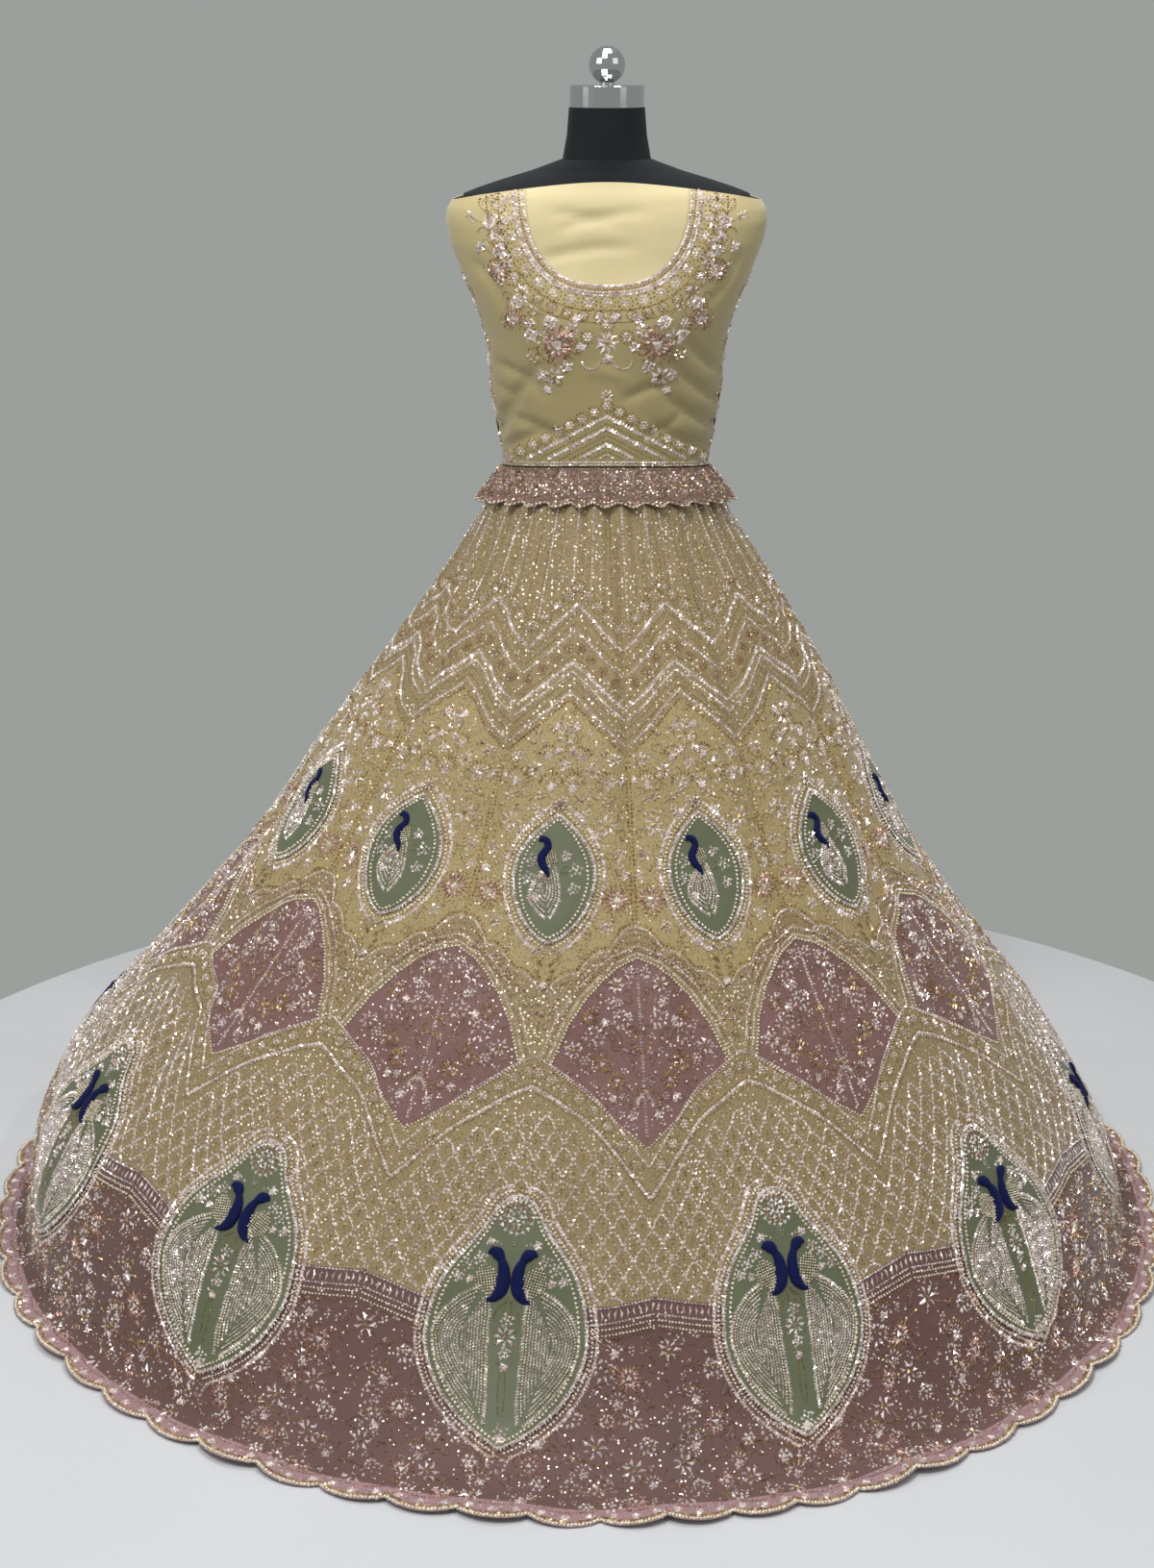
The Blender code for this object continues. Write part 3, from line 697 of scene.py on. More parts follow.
def fill(plan, inside, columns, slants, pitch, seed):
    """Small trefoils, stems and petals on a jittered grid, wherever inside allows."""
    chance = np.random.default_rng(seed)
    for row, slant in enumerate(np.arange(slants[0], slants[1], pitch)):
        for i in range(columns):
            across = (i + 0.5 * (row % 2) + chance.uniform(0.1, 0.9)) / columns
            origin = (across, slant + chance.uniform(-0.4, 0.4) * pitch)
            if across > 0.99 or not inside(*origin):
                continue
            turn = chance.uniform(0.0, 2.0 * math.pi)
            choice = chance.integers(4)
            if choice == 0:
                plan.ring(origin, 0.0026, 3, 0.0038, SILVER, turn)
            if choice == 1:
                bend = turn + np.linspace(-0.9, 0.9, 6)
                x = 0.0065 * (np.cos(bend) - math.cos(turn))
                y = 0.0065 * (np.sin(bend) - math.sin(turn))
                plan.beads(*plan.near(origin, x, y), bend + UPRIGHT, 0.0024, 0.0017, GOLD)
            if choice == 2:
                for side, kind in ((-0.7, ROSE), (0.0, SILVER), (0.7, ROSE)):
                    petal = plan.near(origin, 0.004 * math.cos(turn + side), 0.004 * math.sin(turn + side))
                    plan.beads(*petal, turn + side, 0.0056, 0.0026, kind)
            if choice == 3:
                plan.beads(*origin, turn, 0.0036, 0.0034, SILVER)
                plan.ring(origin, 0.0036, 5, 0.002, GOLD, turn)


print("flowers, leaves, curls and the fill are ready")

# %% [markdown]
# One bead is a low three-sided stud from the cone operator: four triangles, so that
# many thousands of them stay a light model. Its tip is moved a little at random,
# which tilts the facets and makes neighbours catch the light in turn. All the beads
# of a piece become one mesh, written from arrays.

# %% Sewing the beads on
BEAD_HEIGHT = {SILVER: 0.0018, GOLD: 0.0017, ROSE: 0.0017, PEARL: 0.0026}
BEAD_SINK = 0.0003
TIP_TILT = 0.22
STUD_RADIUS = 0.58
TURN_SPREAD = 0.1
SIZE_RANGE = (0.95, 1.22)
HEIGHT_RANGE = (0.75, 1.3)
STEP_DOWN = 0.0015


def stud_shape():
    """Vertices and faces of one stud, a unit wide and a unit high."""
    stud = bmesh.new()
    bmesh.ops.create_cone(
        stud, cap_ends=True, cap_tris=False, segments=3, radius1=STUD_RADIUS, radius2=0.0, depth=1.0
    )
    bmesh.ops.remove_doubles(stud, verts=stud.verts[:], dist=1e-5)
    bmesh.ops.translate(stud, verts=stud.verts[:], vec=(0.0, 0.0, 0.5))
    stud.verts.index_update()
    points = np.array([vertex.co[:] for vertex in stud.verts])
    faces = [[vertex.index for vertex in face.verts] for face in stud.faces]
    stud.free()
    return points, faces


STUD_POINTS, STUD_FACES = stud_shape()


def sew(name, plan, surface, step_across, finishes, seed):
    """One mesh of all the beads in a plan, set on a surface."""
    across, down, turn, length, width, kind = plan.T
    kind = kind.astype(int)
    point, right, below, outward = frame_at(surface, across, down, step_across, STEP_DOWN)
    chance = np.random.default_rng(seed)
    turn = turn + chance.normal(0.0, TURN_SPREAD, len(turn)) + math.pi * chance.integers(2, size=len(turn))
    size = chance.uniform(*SIZE_RANGE, len(turn))
    forward = np.cos(turn)[:, None] * right - np.sin(turn)[:, None] * below
    sideways = np.cross(outward, forward)
    heights = np.array([BEAD_HEIGHT[k] for k in sorted(BEAD_HEIGHT)])[kind]
    heights = heights * chance.uniform(*HEIGHT_RANGE, len(turn))
    shape = np.repeat(STUD_POINTS[None], len(turn), axis=0)
    tip = STUD_POINTS[:, 2] > 0.5
    shape[:, tip, :2] += chance.uniform(-TIP_TILT, TIP_TILT, (len(turn), 1, 2))
    x = shape[..., 0] * (length * size)[:, None]
    y = shape[..., 1] * (width * size)[:, None]
    z = shape[..., 2] * (heights + BEAD_SINK)[:, None] - BEAD_SINK
    points = point[:, None] + x[..., None] * forward[:, None]
    points = points + y[..., None] * sideways[:, None] + z[..., None] * outward[:, None]
    return link(name, stud_mesh(name, points, kind), finishes)


def stud_mesh(name, points, kind):
    """The studs' points, bead by bead, as one mesh with a material for each kind."""
    count = len(points)
    loops = np.concatenate([np.array(face) for face in STUD_FACES])
    sizes = np.array([len(face) for face in STUD_FACES])
    starts = np.r_[0, np.cumsum(sizes)[:-1]]
    mesh = bpy.data.meshes.new(name)
    mesh.vertices.add(count * len(STUD_POINTS))
    mesh.vertices.foreach_set("co", points.ravel())
    mesh.loops.add(count * len(loops))
    shifted = loops[None] + np.arange(count)[:, None] * len(STUD_POINTS)
    mesh.loops.foreach_set("vertex_index", shifted.ravel().astype(np.int32))
    mesh.polygons.add(count * len(sizes))
    begins = starts[None] + np.arange(count)[:, None] * len(loops)
    mesh.polygons.foreach_set("loop_start", begins.ravel().astype(np.int32))
    mesh.polygons.foreach_set("material_index", np.repeat(kind, len(sizes)).astype(np.int32))
    mesh.polygons.foreach_set("use_smooth", np.repeat(kind == PEARL, len(sizes)))
    mesh.update(calc_edges=True)
    return mesh


print("one stud has", len(STUD_POINTS), "points and", len(STUD_FACES), "faces")

# %% [markdown]
# Sequins here are a pale rose silver, with warm gold beads, rose-gold beads and
# dull champagne pearls. Each colour runs from light to dark in small cells, so
# no line looks printed.

# %% Bead finishes
BEAD_DRIFT_SCALE = 210.0
BEAD_COLOURS = {
    # light colour, dark colour, metallic, roughness
    "silver_sequins": ((1.0, 0.91, 0.88), (0.52, 0.4, 0.38), 0.42, 0.2),
    "gold_beads": ((0.56, 0.38, 0.16), (0.2, 0.115, 0.042), 0.5, 0.26),
    "rose_beads": ((0.58, 0.35, 0.27), (0.24, 0.115, 0.09), 0.45, 0.26),
    "dull_pearls": ((0.92, 0.82, 0.66), (0.58, 0.48, 0.34), 0.2, 0.24),
}


def bead_finish(name):
    light, dark, metallic, roughness = BEAD_COLOURS[name]
    finish = Finish(name, {"Metallic": metallic, "Roughness": roughness, "Coat Weight": 0.25})
    chance = finish.cells(BEAD_DRIFT_SCALE)[1]
    finish.drive("Base Color", finish.blend(chance, light, dark))
    return finish


BEADS = [bead_finish(name) for name in BEAD_COLOURS]
print("bead finishes:", list(BEAD_COLOURS))

# %% [markdown]
# The cloth itself is painted as a soft net. Its material mixes a few colours by
# place on the panel: cream, a duller cream where the work is dense, dusty pink inside
# the pointed arches and in the border, and a clear pale pink strip at the hem. Tiny
# sequins too small to model are dots in the colour, the metal and the bump.

# %% Cloth finishes
CREAM = (0.37, 0.28, 0.118)
WORKED_CREAM = (0.275, 0.2, 0.088)
DUSTY_PINK = (0.142, 0.058, 0.052)
DEEP_PINK = (0.078, 0.03, 0.027)
ARCH_PINK = (0.215, 0.102, 0.096)
CLEAR_PINK = (0.34, 0.195, 0.215)
DOT_SILVER = (0.9, 0.82, 0.76)
DOT_GOLD = (0.66, 0.46, 0.22)
DOT_SCALE = 230.0
WARM_CREAM = (0.29, 0.2, 0.08)
# painted shadow for the small gaps between beads
PAINTED_GAP_SHADOW = (0.075, 0.045, 0.022)
LEAF_GREEN = (0.115, 0.13, 0.062)
DEEP_GREEN = (0.068, 0.082, 0.034)
# The choli's cream is painted light and shade: darker at the waist as painted shade, lighter towards the
# bust as painted light from above.
CHOLI_WAIST_WITH_PAINTED_SHADE = (0.335, 0.268, 0.118)
CHOLI_BUST_WITH_PAINTED_LIGHT = (0.51, 0.415, 0.2)
# painted light on the upper bust inside the scooped neck line
CHOLI_SCOOP_WITH_PAINTED_LIGHT = (0.6, 0.505, 0.275)
CHOLI_SHADE = (0.3, 0.235, 0.105)
CHOLI_PAINTED_LIGHT_BY_HEIGHT = ((1.0, 0.0), (1.12, 0.15), (1.22, 0.75), (1.28, 1.0))
FRILL_ROSE = (0.22, 0.135, 0.095)
FRILL_BROWN = (0.11, 0.068, 0.05)
NAVY = (0.004, 0.008, 0.075)
DEEP_NAVY = (0.002, 0.004, 0.034)
# Half width of the pink arch as a share of the panel, at each slant
ARCH = (
    (0.567, 0.0), (0.577, 0.12), (0.59, 0.19), (0.613, 0.28), (0.646, 0.365), (0.692, 0.43),
    (0.711, 0.325), (0.737, 0.2), (0.76, 0.1), (0.782, 0.0),
)
V_TOP = 0.266
V_FALL = 0.069
FRAME_TIP = 0.527
FRAME_FALL = 0.079
LADDER_TIP = 0.943
LADDER_FALL = 0.03
BORDER_FROM = LADDER_TIP
CLEAR_FROM = 1.186
# The choli's scooped neck line in front view
SCOOP_TOP = 1.29
SCOOP_DEPTH = 0.108
SCOOP_HALF_WIDTH = 0.093
SCOOP_POWER = 2.5
print("the pink arch reaches", max(share for slant, share in ARCH), "of a panel from its seam")

# %% [markdown]
# Dots of silver and gold are Voronoi cells that a random number lets through. A noise
# paints shadow into small gaps between them, in place of the tiny shadows real beadwork throws.

# %% Finishes of the skirt
def add_dots(finish, colour, share, scale):
    """Scatter sequins that are too small to model over a cloth's colour, with painted shadow in small gaps.
    """
    distance, chance = finish.cells(scale)
    dots = (distance < 0.3) * (chance < share)
    metal = finish.blend(chance * (1.0 / 0.7), DOT_SILVER, DOT_GOLD)
    # Painted shadow: a fine noise darkens the cloth towards brown in small gaps, standing in for the shadows
    # beads cast.
    painted_gap_shadows = finish.noise(430.0, 3.0) > 0.54
    colour = finish.blend(painted_gap_shadows * 0.45, colour, PAINTED_GAP_SHADOW)
    finish.drive("Base Color", finish.blend(dots, colour, metal))
    finish.drive("Metallic", dots * 0.6)
    finish.drive("Roughness", 0.62 - dots * 0.34)
    weave = finish.noise(1400.0, 1.0)
    finish.bump(dots * 0.8 + weave * 0.25, 0.0006, 0.8)


def plan_of(finish):
    """Distance from the nearest seam as a share of the panel, and the slant."""
    plan = finish.node("UVMap", {"uv_map": "plan"})
    across = finish.node("SeparateXYZ", None, {0: plan})
    seam = 0.5 - abs(across - 0.5)
    return seam, across.output(1)


def kali_finish():
    finish = Finish("cream_net", {"Sheen Weight": 0.25, "Sheen Roughness": 0.5})
    seam, slant = plan_of(finish)
    pink = seam < finish.table(slant, ARCH, 0.56, 0.8)
    under_points = slant > (V_TOP + V_FALL) - seam * (2.0 * V_FALL)
    over_frame = slant < FRAME_TIP + seam * (2.0 * FRAME_FALL)
    plain = under_points * over_frame
    soft = finish.noise(9.0)
    cream = finish.blend(plain, WORKED_CREAM, CREAM)
    cream = finish.blend(soft * 0.4, cream, WARM_CREAM)
    rose = finish.blend(soft, ARCH_PINK, DUSTY_PINK)
    share = (0.42 - plain * 0.32) * (1.0 - pink * 0.6)
    add_dots(finish, finish.blend(pink, cream, rose), share, DOT_SCALE)
    return finish


def border_finish():
    finish = Finish("pink_net", {"Sheen Weight": 0.3, "Sheen Roughness": 0.5})
    seam, slant = plan_of(finish)
    above = slant < LADDER_TIP + seam * (2.0 * LADDER_FALL)
    clear = slant > CLEAR_FROM
    soft = finish.noise(11.0)
    rose = finish.blend(soft, DUSTY_PINK, DEEP_PINK)
    rose = finish.blend(clear, rose, CLEAR_PINK)
    add_dots(finish, finish.blend(above, rose, WORKED_CREAM), 0.16, DOT_SCALE)
    return finish


def green_finish():
    finish = Finish("green_satin", {"Roughness": 0.48, "Sheen Weight": 0.2})
    soft = finish.noise(26.0)
    finish.drive("Base Color", finish.blend(soft, DEEP_GREEN, LEAF_GREEN))
    finish.bump(finish.noise(1600.0, 1.0), 0.0003, 0.6)
    return finish


KALI, BORDER, GREEN = kali_finish(), border_finish(), green_finish()
print("finishes of the skirt are ready")

# %% Finishes of the choli, the frill and the necks
def choli_finish():
    finish = Finish("choli_net", {"Roughness": 0.6, "Sheen Weight": 0.3, "Sheen Roughness": 0.5})
    soft = finish.noise(14.0)
    place = finish.node("SeparateXYZ", None, {0: finish.node("TexCoord").output(3)})
    beside = abs(place * (1.0 / SCOOP_HALF_WIDTH)).math("POWER", SCOOP_POWER)
    drop = abs((SCOOP_TOP - place.output(2)) * (1.0 / SCOOP_DEPTH)).math("POWER", SCOOP_POWER)
    # Painted light: the cloth inside the scooped neck line is brighter, as if lit from above.
    inside = (beside + drop < 1.0) * (place.output(1) < 0.0)
    # Painted light and shade: the cloth gets lighter with height, from painted shade at the waist to painted
    # light at the bust.
    pale = finish.table(place.output(2), CHOLI_PAINTED_LIGHT_BY_HEIGHT, 0.94, 1.3)
    cloth = finish.blend(pale, CHOLI_WAIST_WITH_PAINTED_SHADE, CHOLI_BUST_WITH_PAINTED_LIGHT)
    cloth = finish.blend(inside, cloth, CHOLI_SCOOP_WITH_PAINTED_LIGHT)
    finish.drive("Base Color", finish.blend(soft * 0.25, cloth, CHOLI_SHADE))
    finish.bump(finish.noise(1500.0, 1.0), 0.0004, 0.6)
    return finish


def frill_finish():
    finish = Finish("frill_net", {"Sheen Weight": 0.2})
    soft = finish.noise(60.0)
    add_dots(finish, finish.blend(soft, FRILL_ROSE, FRILL_BROWN), 0.6, 260.0)
    return finish


def velvet_finish():
    finish = Finish("navy_velvet", {"Roughness": 0.85, "Sheen Weight": 0.04, "Specular IOR Level": 0.15})
    nap = finish.noise(500.0)
    finish.drive("Base Color", finish.blend(nap, DEEP_NAVY, NAVY))
    finish.bump(nap, 0.0004, 0.5)
    return finish


CHOLI, FRILL, VELVET = choli_finish(), frill_finish(), velvet_finish()
print("finishes of the choli, the frill and the necks are ready")

# %% [markdown]
# Stripes of sequins run down from the waist and end above a zigzag of round flowers.
# Below it lie parallel points: wide silver, thin silver, fine gold, one row of small
# rose flowers, and a last row of wide gold. Each has its low point on a seam.

# %% Stripes and points
STRIPE_TOP = 0.04
STRIPES = (
    # share across the panel, row
    (0.06, SEQUIN_STRIPE), (0.18, GOLD_STRIPE), (0.29, SPACED_STRIPE), (0.41, SEQUIN_STRIPE),
    (0.53, GOLD_STRIPE), (0.64, SEQUIN_STRIPE), (0.76, SPACED_STRIPE), (0.88, GOLD_STRIPE),
)
FLOWER_PEAK = 0.137
FLOWER_LOW = 0.189
POINT_LINES = (
    # slant at the panel's middle, slant at the seam, row
    (0.157, 0.211, WIDE_POINT), (0.165, 0.22, FINE_POINT), (0.176, 0.231, FINE_POINT),
    (0.186, 0.242, THIN_POINT), (0.214, 0.269, FINE_POINT), (0.222, 0.28, WIDE_POINT),
    (0.232, 0.294, THIN_POINT), (0.24, 0.303, FINE_POINT), (0.249, 0.315, FINE_POINT),
    (0.257, 0.325, THIN_POINT), (0.266, 0.336, WIDE_GOLD),
)
FLOWER_ROW = (0.201, 0.256)


def read(table, value):
    """Read a short table of (place, number) rows at a value."""
    rows = np.array(table)
    return np.interp(value, rows[:, 0], rows[:, 1])


def mirrored(across, side):
    """The place itself at seam 0, and its mirror image at seam 1."""
    return across if side == 0 else 1.0 - across


def zigzag(share, middle, low):
    """Slant of a pointed line that is highest in the panel's middle."""
    return middle + (low - middle) * np.abs(2.0 * np.asarray(share) - 1.0) ** 1.08


def sew_stripes(plan):
    for share, row in STRIPES:
        end = zigzag(share, FLOWER_PEAK, FLOWER_LOW) - 0.008
        plan.line([share, share], [STRIPE_TOP, end], *row)


def sew_points(plan):
    share = np.linspace(0.01, 0.99, 41)
    for middle, low, row in POINT_LINES:
        plan.line(share, zigzag(share, middle, low), *row)
    for place in np.linspace(0.04, 0.96, 9):
        rosette(plan, (place, float(zigzag(place, FLOWER_PEAK, FLOWER_LOW))), 0.0078)
    for place in np.linspace(0.09, 0.91, 8):
        rosette(plan, (place, float(zigzag(place, *FLOWER_ROW))), 0.0056, ROSE)


print("pointed lines:", len(POINT_LINES))

# %% [markdown]
# Between the points and the arches the cream shows, with loose flowers, sprigs and
# curls, the same on both sides of a panel. A row of gold beads on each side of a seam
# hides it.

# %% Flowers of the middle
MIDDLE = (
    # distance from the seam as a share of the panel, slant, motif, size
    (0.12, 0.336, "cluster", 0.008), (0.15, 0.364, "fan", 0.017), (0.08, 0.39, "sprig", 0.024),
    (0.17, 0.412, "daisy", 0.014), (0.07, 0.424, "curl", 0.008), (0.08, 0.448, "cluster", 0.008),
    (0.16, 0.462, "leaf", 0.018), (0.05, 0.472, "cluster", 0.006), (0.11, 0.499, "bloom", 0.018),
    (0.2, 0.496, "curl", 0.008), (0.19, 0.53, "cluster", 0.007), (0.27, 0.545, "leaf", 0.018),
    (0.27, 0.388, "sprig", 0.024), (0.42, 0.366, "fan", 0.017), (0.37, 0.332, "fan", 0.014),
    (0.5, 0.308, "daisy", 0.014), (0.28, 0.35, "daisy", 0.011), (0.36, 0.4, "cluster", 0.007),
    (0.25, 0.425, "cluster", 0.007), (0.24, 0.452, "curl", 0.006), (0.31, 0.522, "sprig", 0.026),
    (0.5, 0.343, "cluster", 0.007), (0.44, 0.326, "cluster", 0.004), (0.21, 0.372, "leaf", 0.014),
    (0.05, 0.362, "cluster", 0.004), (0.38, 0.55, "cluster", 0.005), (0.3, 0.56, "curl", 0.006),
    (0.44, 0.572, "curl", 0.006), (0.42, 0.298, "cluster", 0.004),
)


def sew_motif(plan, origin, motif, size, side):
    """One motif of a short table. side is 1 or -1 for its mirror image."""
    if motif in ("cluster", "heap"):
        cluster(plan, origin, size)
    if motif == "heap":
        plan.ring(origin, 0.75 * size, 9, 0.0044, SILVER)
    if motif == "daisy":
        daisy(plan, origin, size, 7, SILVER, GOLD)
    if motif == "shell":
        daisy(plan, origin, size, 12, GOLD, SILVER)
    if motif == "bloom":
        daisy(plan, origin, size, 17, ROSE, SILVER)
        plan.ring(origin, 0.45 * size, 9, 0.0052, SILVER)
        plan.ring(origin, size, 19, 0.0026, GOLD)
    if motif == "rosette":
        rosette(plan, origin, size)
    if motif == "half_moon":
        arc = np.linspace(math.pi, 2.0 * math.pi, 9)
        across, down = plan.near(origin, size * np.cos(arc), size * np.sin(arc))
        plan.line(across, down, 0.003, 0.003, 0.0024, SILVER)
    if motif == "fan":
        fan(plan, origin, size)
    if motif == "sprig":
        sprig(plan, origin, size, UPRIGHT - side * 1.1)
    if motif == "leaf":
        leaf(plan, origin, size, UPRIGHT - side * 0.5)
    if motif == "curl":
        curl(plan, origin, size, side)


def in_open_cream(across, slant):
    """Whether a place lies on open cream, between the points and the arches."""
    distance = min(across, 1.0 - across)
    below_points = slant > V_TOP + V_FALL * (1.0 - 2.0 * distance) + 0.006
    above_frame = slant < FRAME_TIP + 2.0 * FRAME_FALL * distance - 0.01
    return below_points and above_frame and distance * panel_width(slant) > 0.007


def sew_middle(plan):
    for distance, slant, motif, size in MIDDLE:
        sew_motif(plan, (distance, slant), motif, size, 1.0)
        if distance < 0.5:
            sew_motif(plan, (1.0 - distance, slant), motif, size, -1.0)
    fill(plan, in_open_cream, 9, (0.276, 0.606), 0.015, 21)
    down = np.linspace(V_TOP + V_FALL + 0.004, FRAME_TIP - 0.002, 9)
    for side in (0.0, 1.0):
        across = side + (0.5 - side) * 2.0 * 0.0026 / panel_width(down)
        plan.line(across, down, 0.0048, 0.005, 0.0048, GOLD)


print("motifs in the middle:", len(MIDDLE))

# %% [markdown]
# A pointed arch stands on every seam: a wavy outer frame of gold beads, four close
# lines round the pink, and a bouquet on it. A band of flowers runs below it, edged
# with wide silver, and falls to a point on the seam.

# %% Arches and their bouquets
BAND = (
    # distance from the seam as a share of the panel, slant of the band's lower edge
    (0.0, 0.842), (0.055, 0.822), (0.107, 0.803), (0.195, 0.775), (0.33, 0.746), (0.42, 0.73),
    (0.5, 0.72),
)
OUTER_SCALLOPS = 3
BOUQUET = (
    # metres right of the seam, slant, motif, size; mirrored on the other side
    (0.01, 0.584, "daisy", 0.0083), (0.028, 0.597, "daisy", 0.0118), (0.013, 0.608, "curl", 0.007),
    (0.03, 0.617, "cluster", 0.0071), (0.023, 0.637, "heap", 0.013), (0.06, 0.634, "shell", 0.0118),
    (0.045, 0.615, "leaf", 0.0165), (0.057, 0.657, "heap", 0.0142), (0.082, 0.673, "daisy", 0.0118),
    (0.07, 0.686, "rosette", 0.0094), (0.05, 0.688, "shell", 0.013), (0.026, 0.668, "leaf", 0.026),
    (0.034, 0.66, "leaf", 0.0212), (0.01, 0.686, "leaf", 0.0142), (0.033, 0.706, "shell", 0.013),
    (0.027, 0.724, "rosette", 0.0071), (0.047, 0.676, "curl", 0.006), (0.008, 0.648, "curl", 0.006),
    (0.016, 0.745, "cluster", 0.0059), (0.044, 0.64, "cluster", 0.0047), (0.04, 0.726, "cluster", 0.0047),
)


def arch_edge(side, offset):
    """The pink arch's edge on one side of a seam, moved outwards by an offset."""
    table = np.array(ARCH[:6])
    slant, share = table[:, 0], table[:, 1]
    width = panel_width(slant)
    x = share * width
    tangent = np.gradient(np.stack([x, slant], axis=1), axis=0)
    tangent = tangent / np.linalg.norm(tangent, axis=1, keepdims=True)
    x = x + offset * tangent[:, 1]
    slant = slant - offset * tangent[:, 0]
    x[0] = 0.0
    across = np.minimum(x / panel_width(slant), 0.495)
    return mirrored(across, side), slant


def sew_arches(plan):
    for side in (0, 1):
        sign = 1.0 if side == 0 else -1.0
        for offset, row in (
            (0.0, (0.0042, 0.0044, 0.0044, PEARL)), (0.0056, ARCH_SEQUINS),
            (0.01, (0.0036, 0.0028, 0.0024, GOLD)), (0.0142, ARCH_SEQUINS),
        ):
            plan.line(*arch_edge(side, offset), *row)
        lower = np.array(ARCH[5:])
        plan.line(mirrored(lower[:, 1], side), lower[:, 0], 0.004, 0.0035, 0.0035, PEARL)
        sew_frame(plan, side)
        sew_band(plan, side)
        for metres, slant, motif, size in BOUQUET:
            place = side + sign * metres / panel_width(slant)
            sew_motif(plan, (place, slant), motif, size, sign)
        stem = np.linspace(0.578, 0.77, 9)
        plan.line(side + sign * 0.0009 / panel_width(stem), stem, 0.0036, 0.0042, 0.002, SILVER)
        heart = (side, 0.662)
        for angle in np.linspace(-1.4, 1.4, 8):
            place = plan.near(heart, sign * 0.011 * math.cos(angle), 0.011 * math.sin(angle))
            plan.beads(*place, angle * sign, 0.0075, 0.0034, GOLD)
        for angle in np.linspace(-0.2, 1.45, 7):
            for reach, kind in ((0.01, SILVER), (0.018, GOLD)):
                place = plan.near((side, 0.733), sign * reach * math.cos(angle), reach * math.sin(angle))
                turn = angle if side == 0 else math.pi - angle
                plan.beads(*place, turn, 0.007, 0.0028, kind)


def in_arch(across, slant):
    """Whether a place lies inside a pink arch, a little in from its edge."""
    return min(across, 1.0 - across) < read(ARCH, slant) - 0.03


def in_frame(across, slant):
    """Whether a place lies between an arch's outer frame and its close lines."""
    distance = min(across, 1.0 - across)
    under = slant > FRAME_TIP + 2.0 * FRAME_FALL * distance + 0.006
    over = slant < read(BAND, distance) - 0.045
    return under and over and distance > read(ARCH, slant) + 0.085


def sew_arch_ground(plan):
    fill(plan, in_arch, 16, (0.585, 0.775), 0.014, 23)
    fill(plan, in_frame, 24, (0.545, 0.69), 0.0075, 24)


def sew_frame(plan, side):
    """The wavy outer frame of an arch and the gold fill inside it."""
    share = np.linspace(0.0, 0.49, 28)
    wave = 0.008 * np.abs(np.sin(share / 0.5 * OUTER_SCALLOPS * math.pi))
    slant = FRAME_TIP + share * 2.0 * FRAME_FALL - wave
    across = mirrored(share, side)
    plan.line(across, slant, *WIDE_GOLD)
    plan.line(across, slant + 0.0056, 0.0042, 0.0052, 0.0034, SILVER)
    for step in (0.013, 0.021, 0.029):
        inner = share[:int(28 - step * 260)]
        row = slant[:len(inner)] + step
        plan.line(across[:len(inner)], row, 0.0046, 0.0034, 0.0028, ROSE)


def sew_band(plan, side):
    """The flowers and silver edge of the band below an arch."""
    share, slant = smooth_curve(BAND, steps=10)[1:]
    across = mirrored(share, side)
    for lift, row in (
        (0.0, BAND_GOLD), (0.005, (0.0044, 0.0062, 0.006, SILVER)),
        (0.009, BAND_GOLD), (0.039, (0.0042, 0.0052, 0.004, SILVER)),
    ):
        plan.line(across, slant - lift, *row)
    for place in np.linspace(0.05, 0.48, 8):
        row = float(np.interp(place, share, slant)) - 0.024
        rosette(plan, (mirrored(place, side), row), 0.008)


print("motifs in a bouquet:", 2 * len(BOUQUET))

# %% [markdown]
# The leaf patches are cut to two outlines, given as shares of their half width. They
# are needed before the ground is planned, because no bead goes where a patch will lie.

# %% Outlines of the leaves
LEAF_REACH = 0.09
SMALL_LEAF = (
    # slant, share of the half width
    (0.4, 0.0), (0.412, 0.3), (0.432, 0.68), (0.455, 0.93), (0.475, 1.0), (0.5, 0.92),
    (0.526, 0.66), (0.543, 0.33), (0.552, 0.0),
)
LARGE_LEAF = (
    (0.836, 0.0), (0.84, 0.14), (0.85, 0.25), (0.864, 0.33), (0.88, 0.44), (0.9, 0.61),
    (0.924, 0.79), (0.95, 0.91), (0.978, 0.98), (1.003, 1.0), (1.03, 0.93), (1.057, 0.78),
    (1.082, 0.54), (1.103, 0.26), (1.118, 0.0),
)
SMALL_HALF_WIDTH = 0.049
LARGE_HALF_WIDTH = 0.091


def leaf_edge(table):
    """Slants and smooth shares of a leaf's outline, curved in metres so it turns evenly."""
    slant, reach = smooth_curve([(slant, LEAF_REACH * share) for slant, share in table], steps=12)[1:]
    return slant, np.clip(reach / LEAF_REACH, 0.0, 1.05)


def under_patch(across, slant, table, half_width, margin):
    """Whether a place on the panel lies under a patch."""
    slants, shares = leaf_edge(table)
    half = np.interp(slant, slants, shares, left=-1.0, right=-1.0) * half_width + margin
    return np.abs(across - 0.5) * panel_width(slant) < half

print("points in the outlines:", len(SMALL_LEAF), len(LARGE_LEAF))

# %% [markdown]
# Fish scales fill the ground under the arches. A scale is a pair of curved strokes
# with a bead at its top and two small ones inside. Each row is set half a scale aside.

# %% Fish scales
SCALES_ACROSS = 13
SCALE_HEIGHT = 0.018
SCALES_FROM = 0.728
SCALES_TO = 0.972


def sew_scales(plan):
    row = 0
    slant = SCALES_FROM
    while slant < SCALES_TO:
        for i in range(SCALES_ACROSS + 1):
            across = (i + 0.5 * (row % 2)) / SCALES_ACROSS
            distance = min(across, 1.0 - across)
            edge = read(BAND, distance) + 0.006
            low = LADDER_TIP + 2.0 * LADDER_FALL * distance - 0.001
            if across <= 1.0 and edge < slant < low - 0.003:
                sew_scale(plan, across, slant, low)
        slant += SCALE_HEIGHT
        row += 1


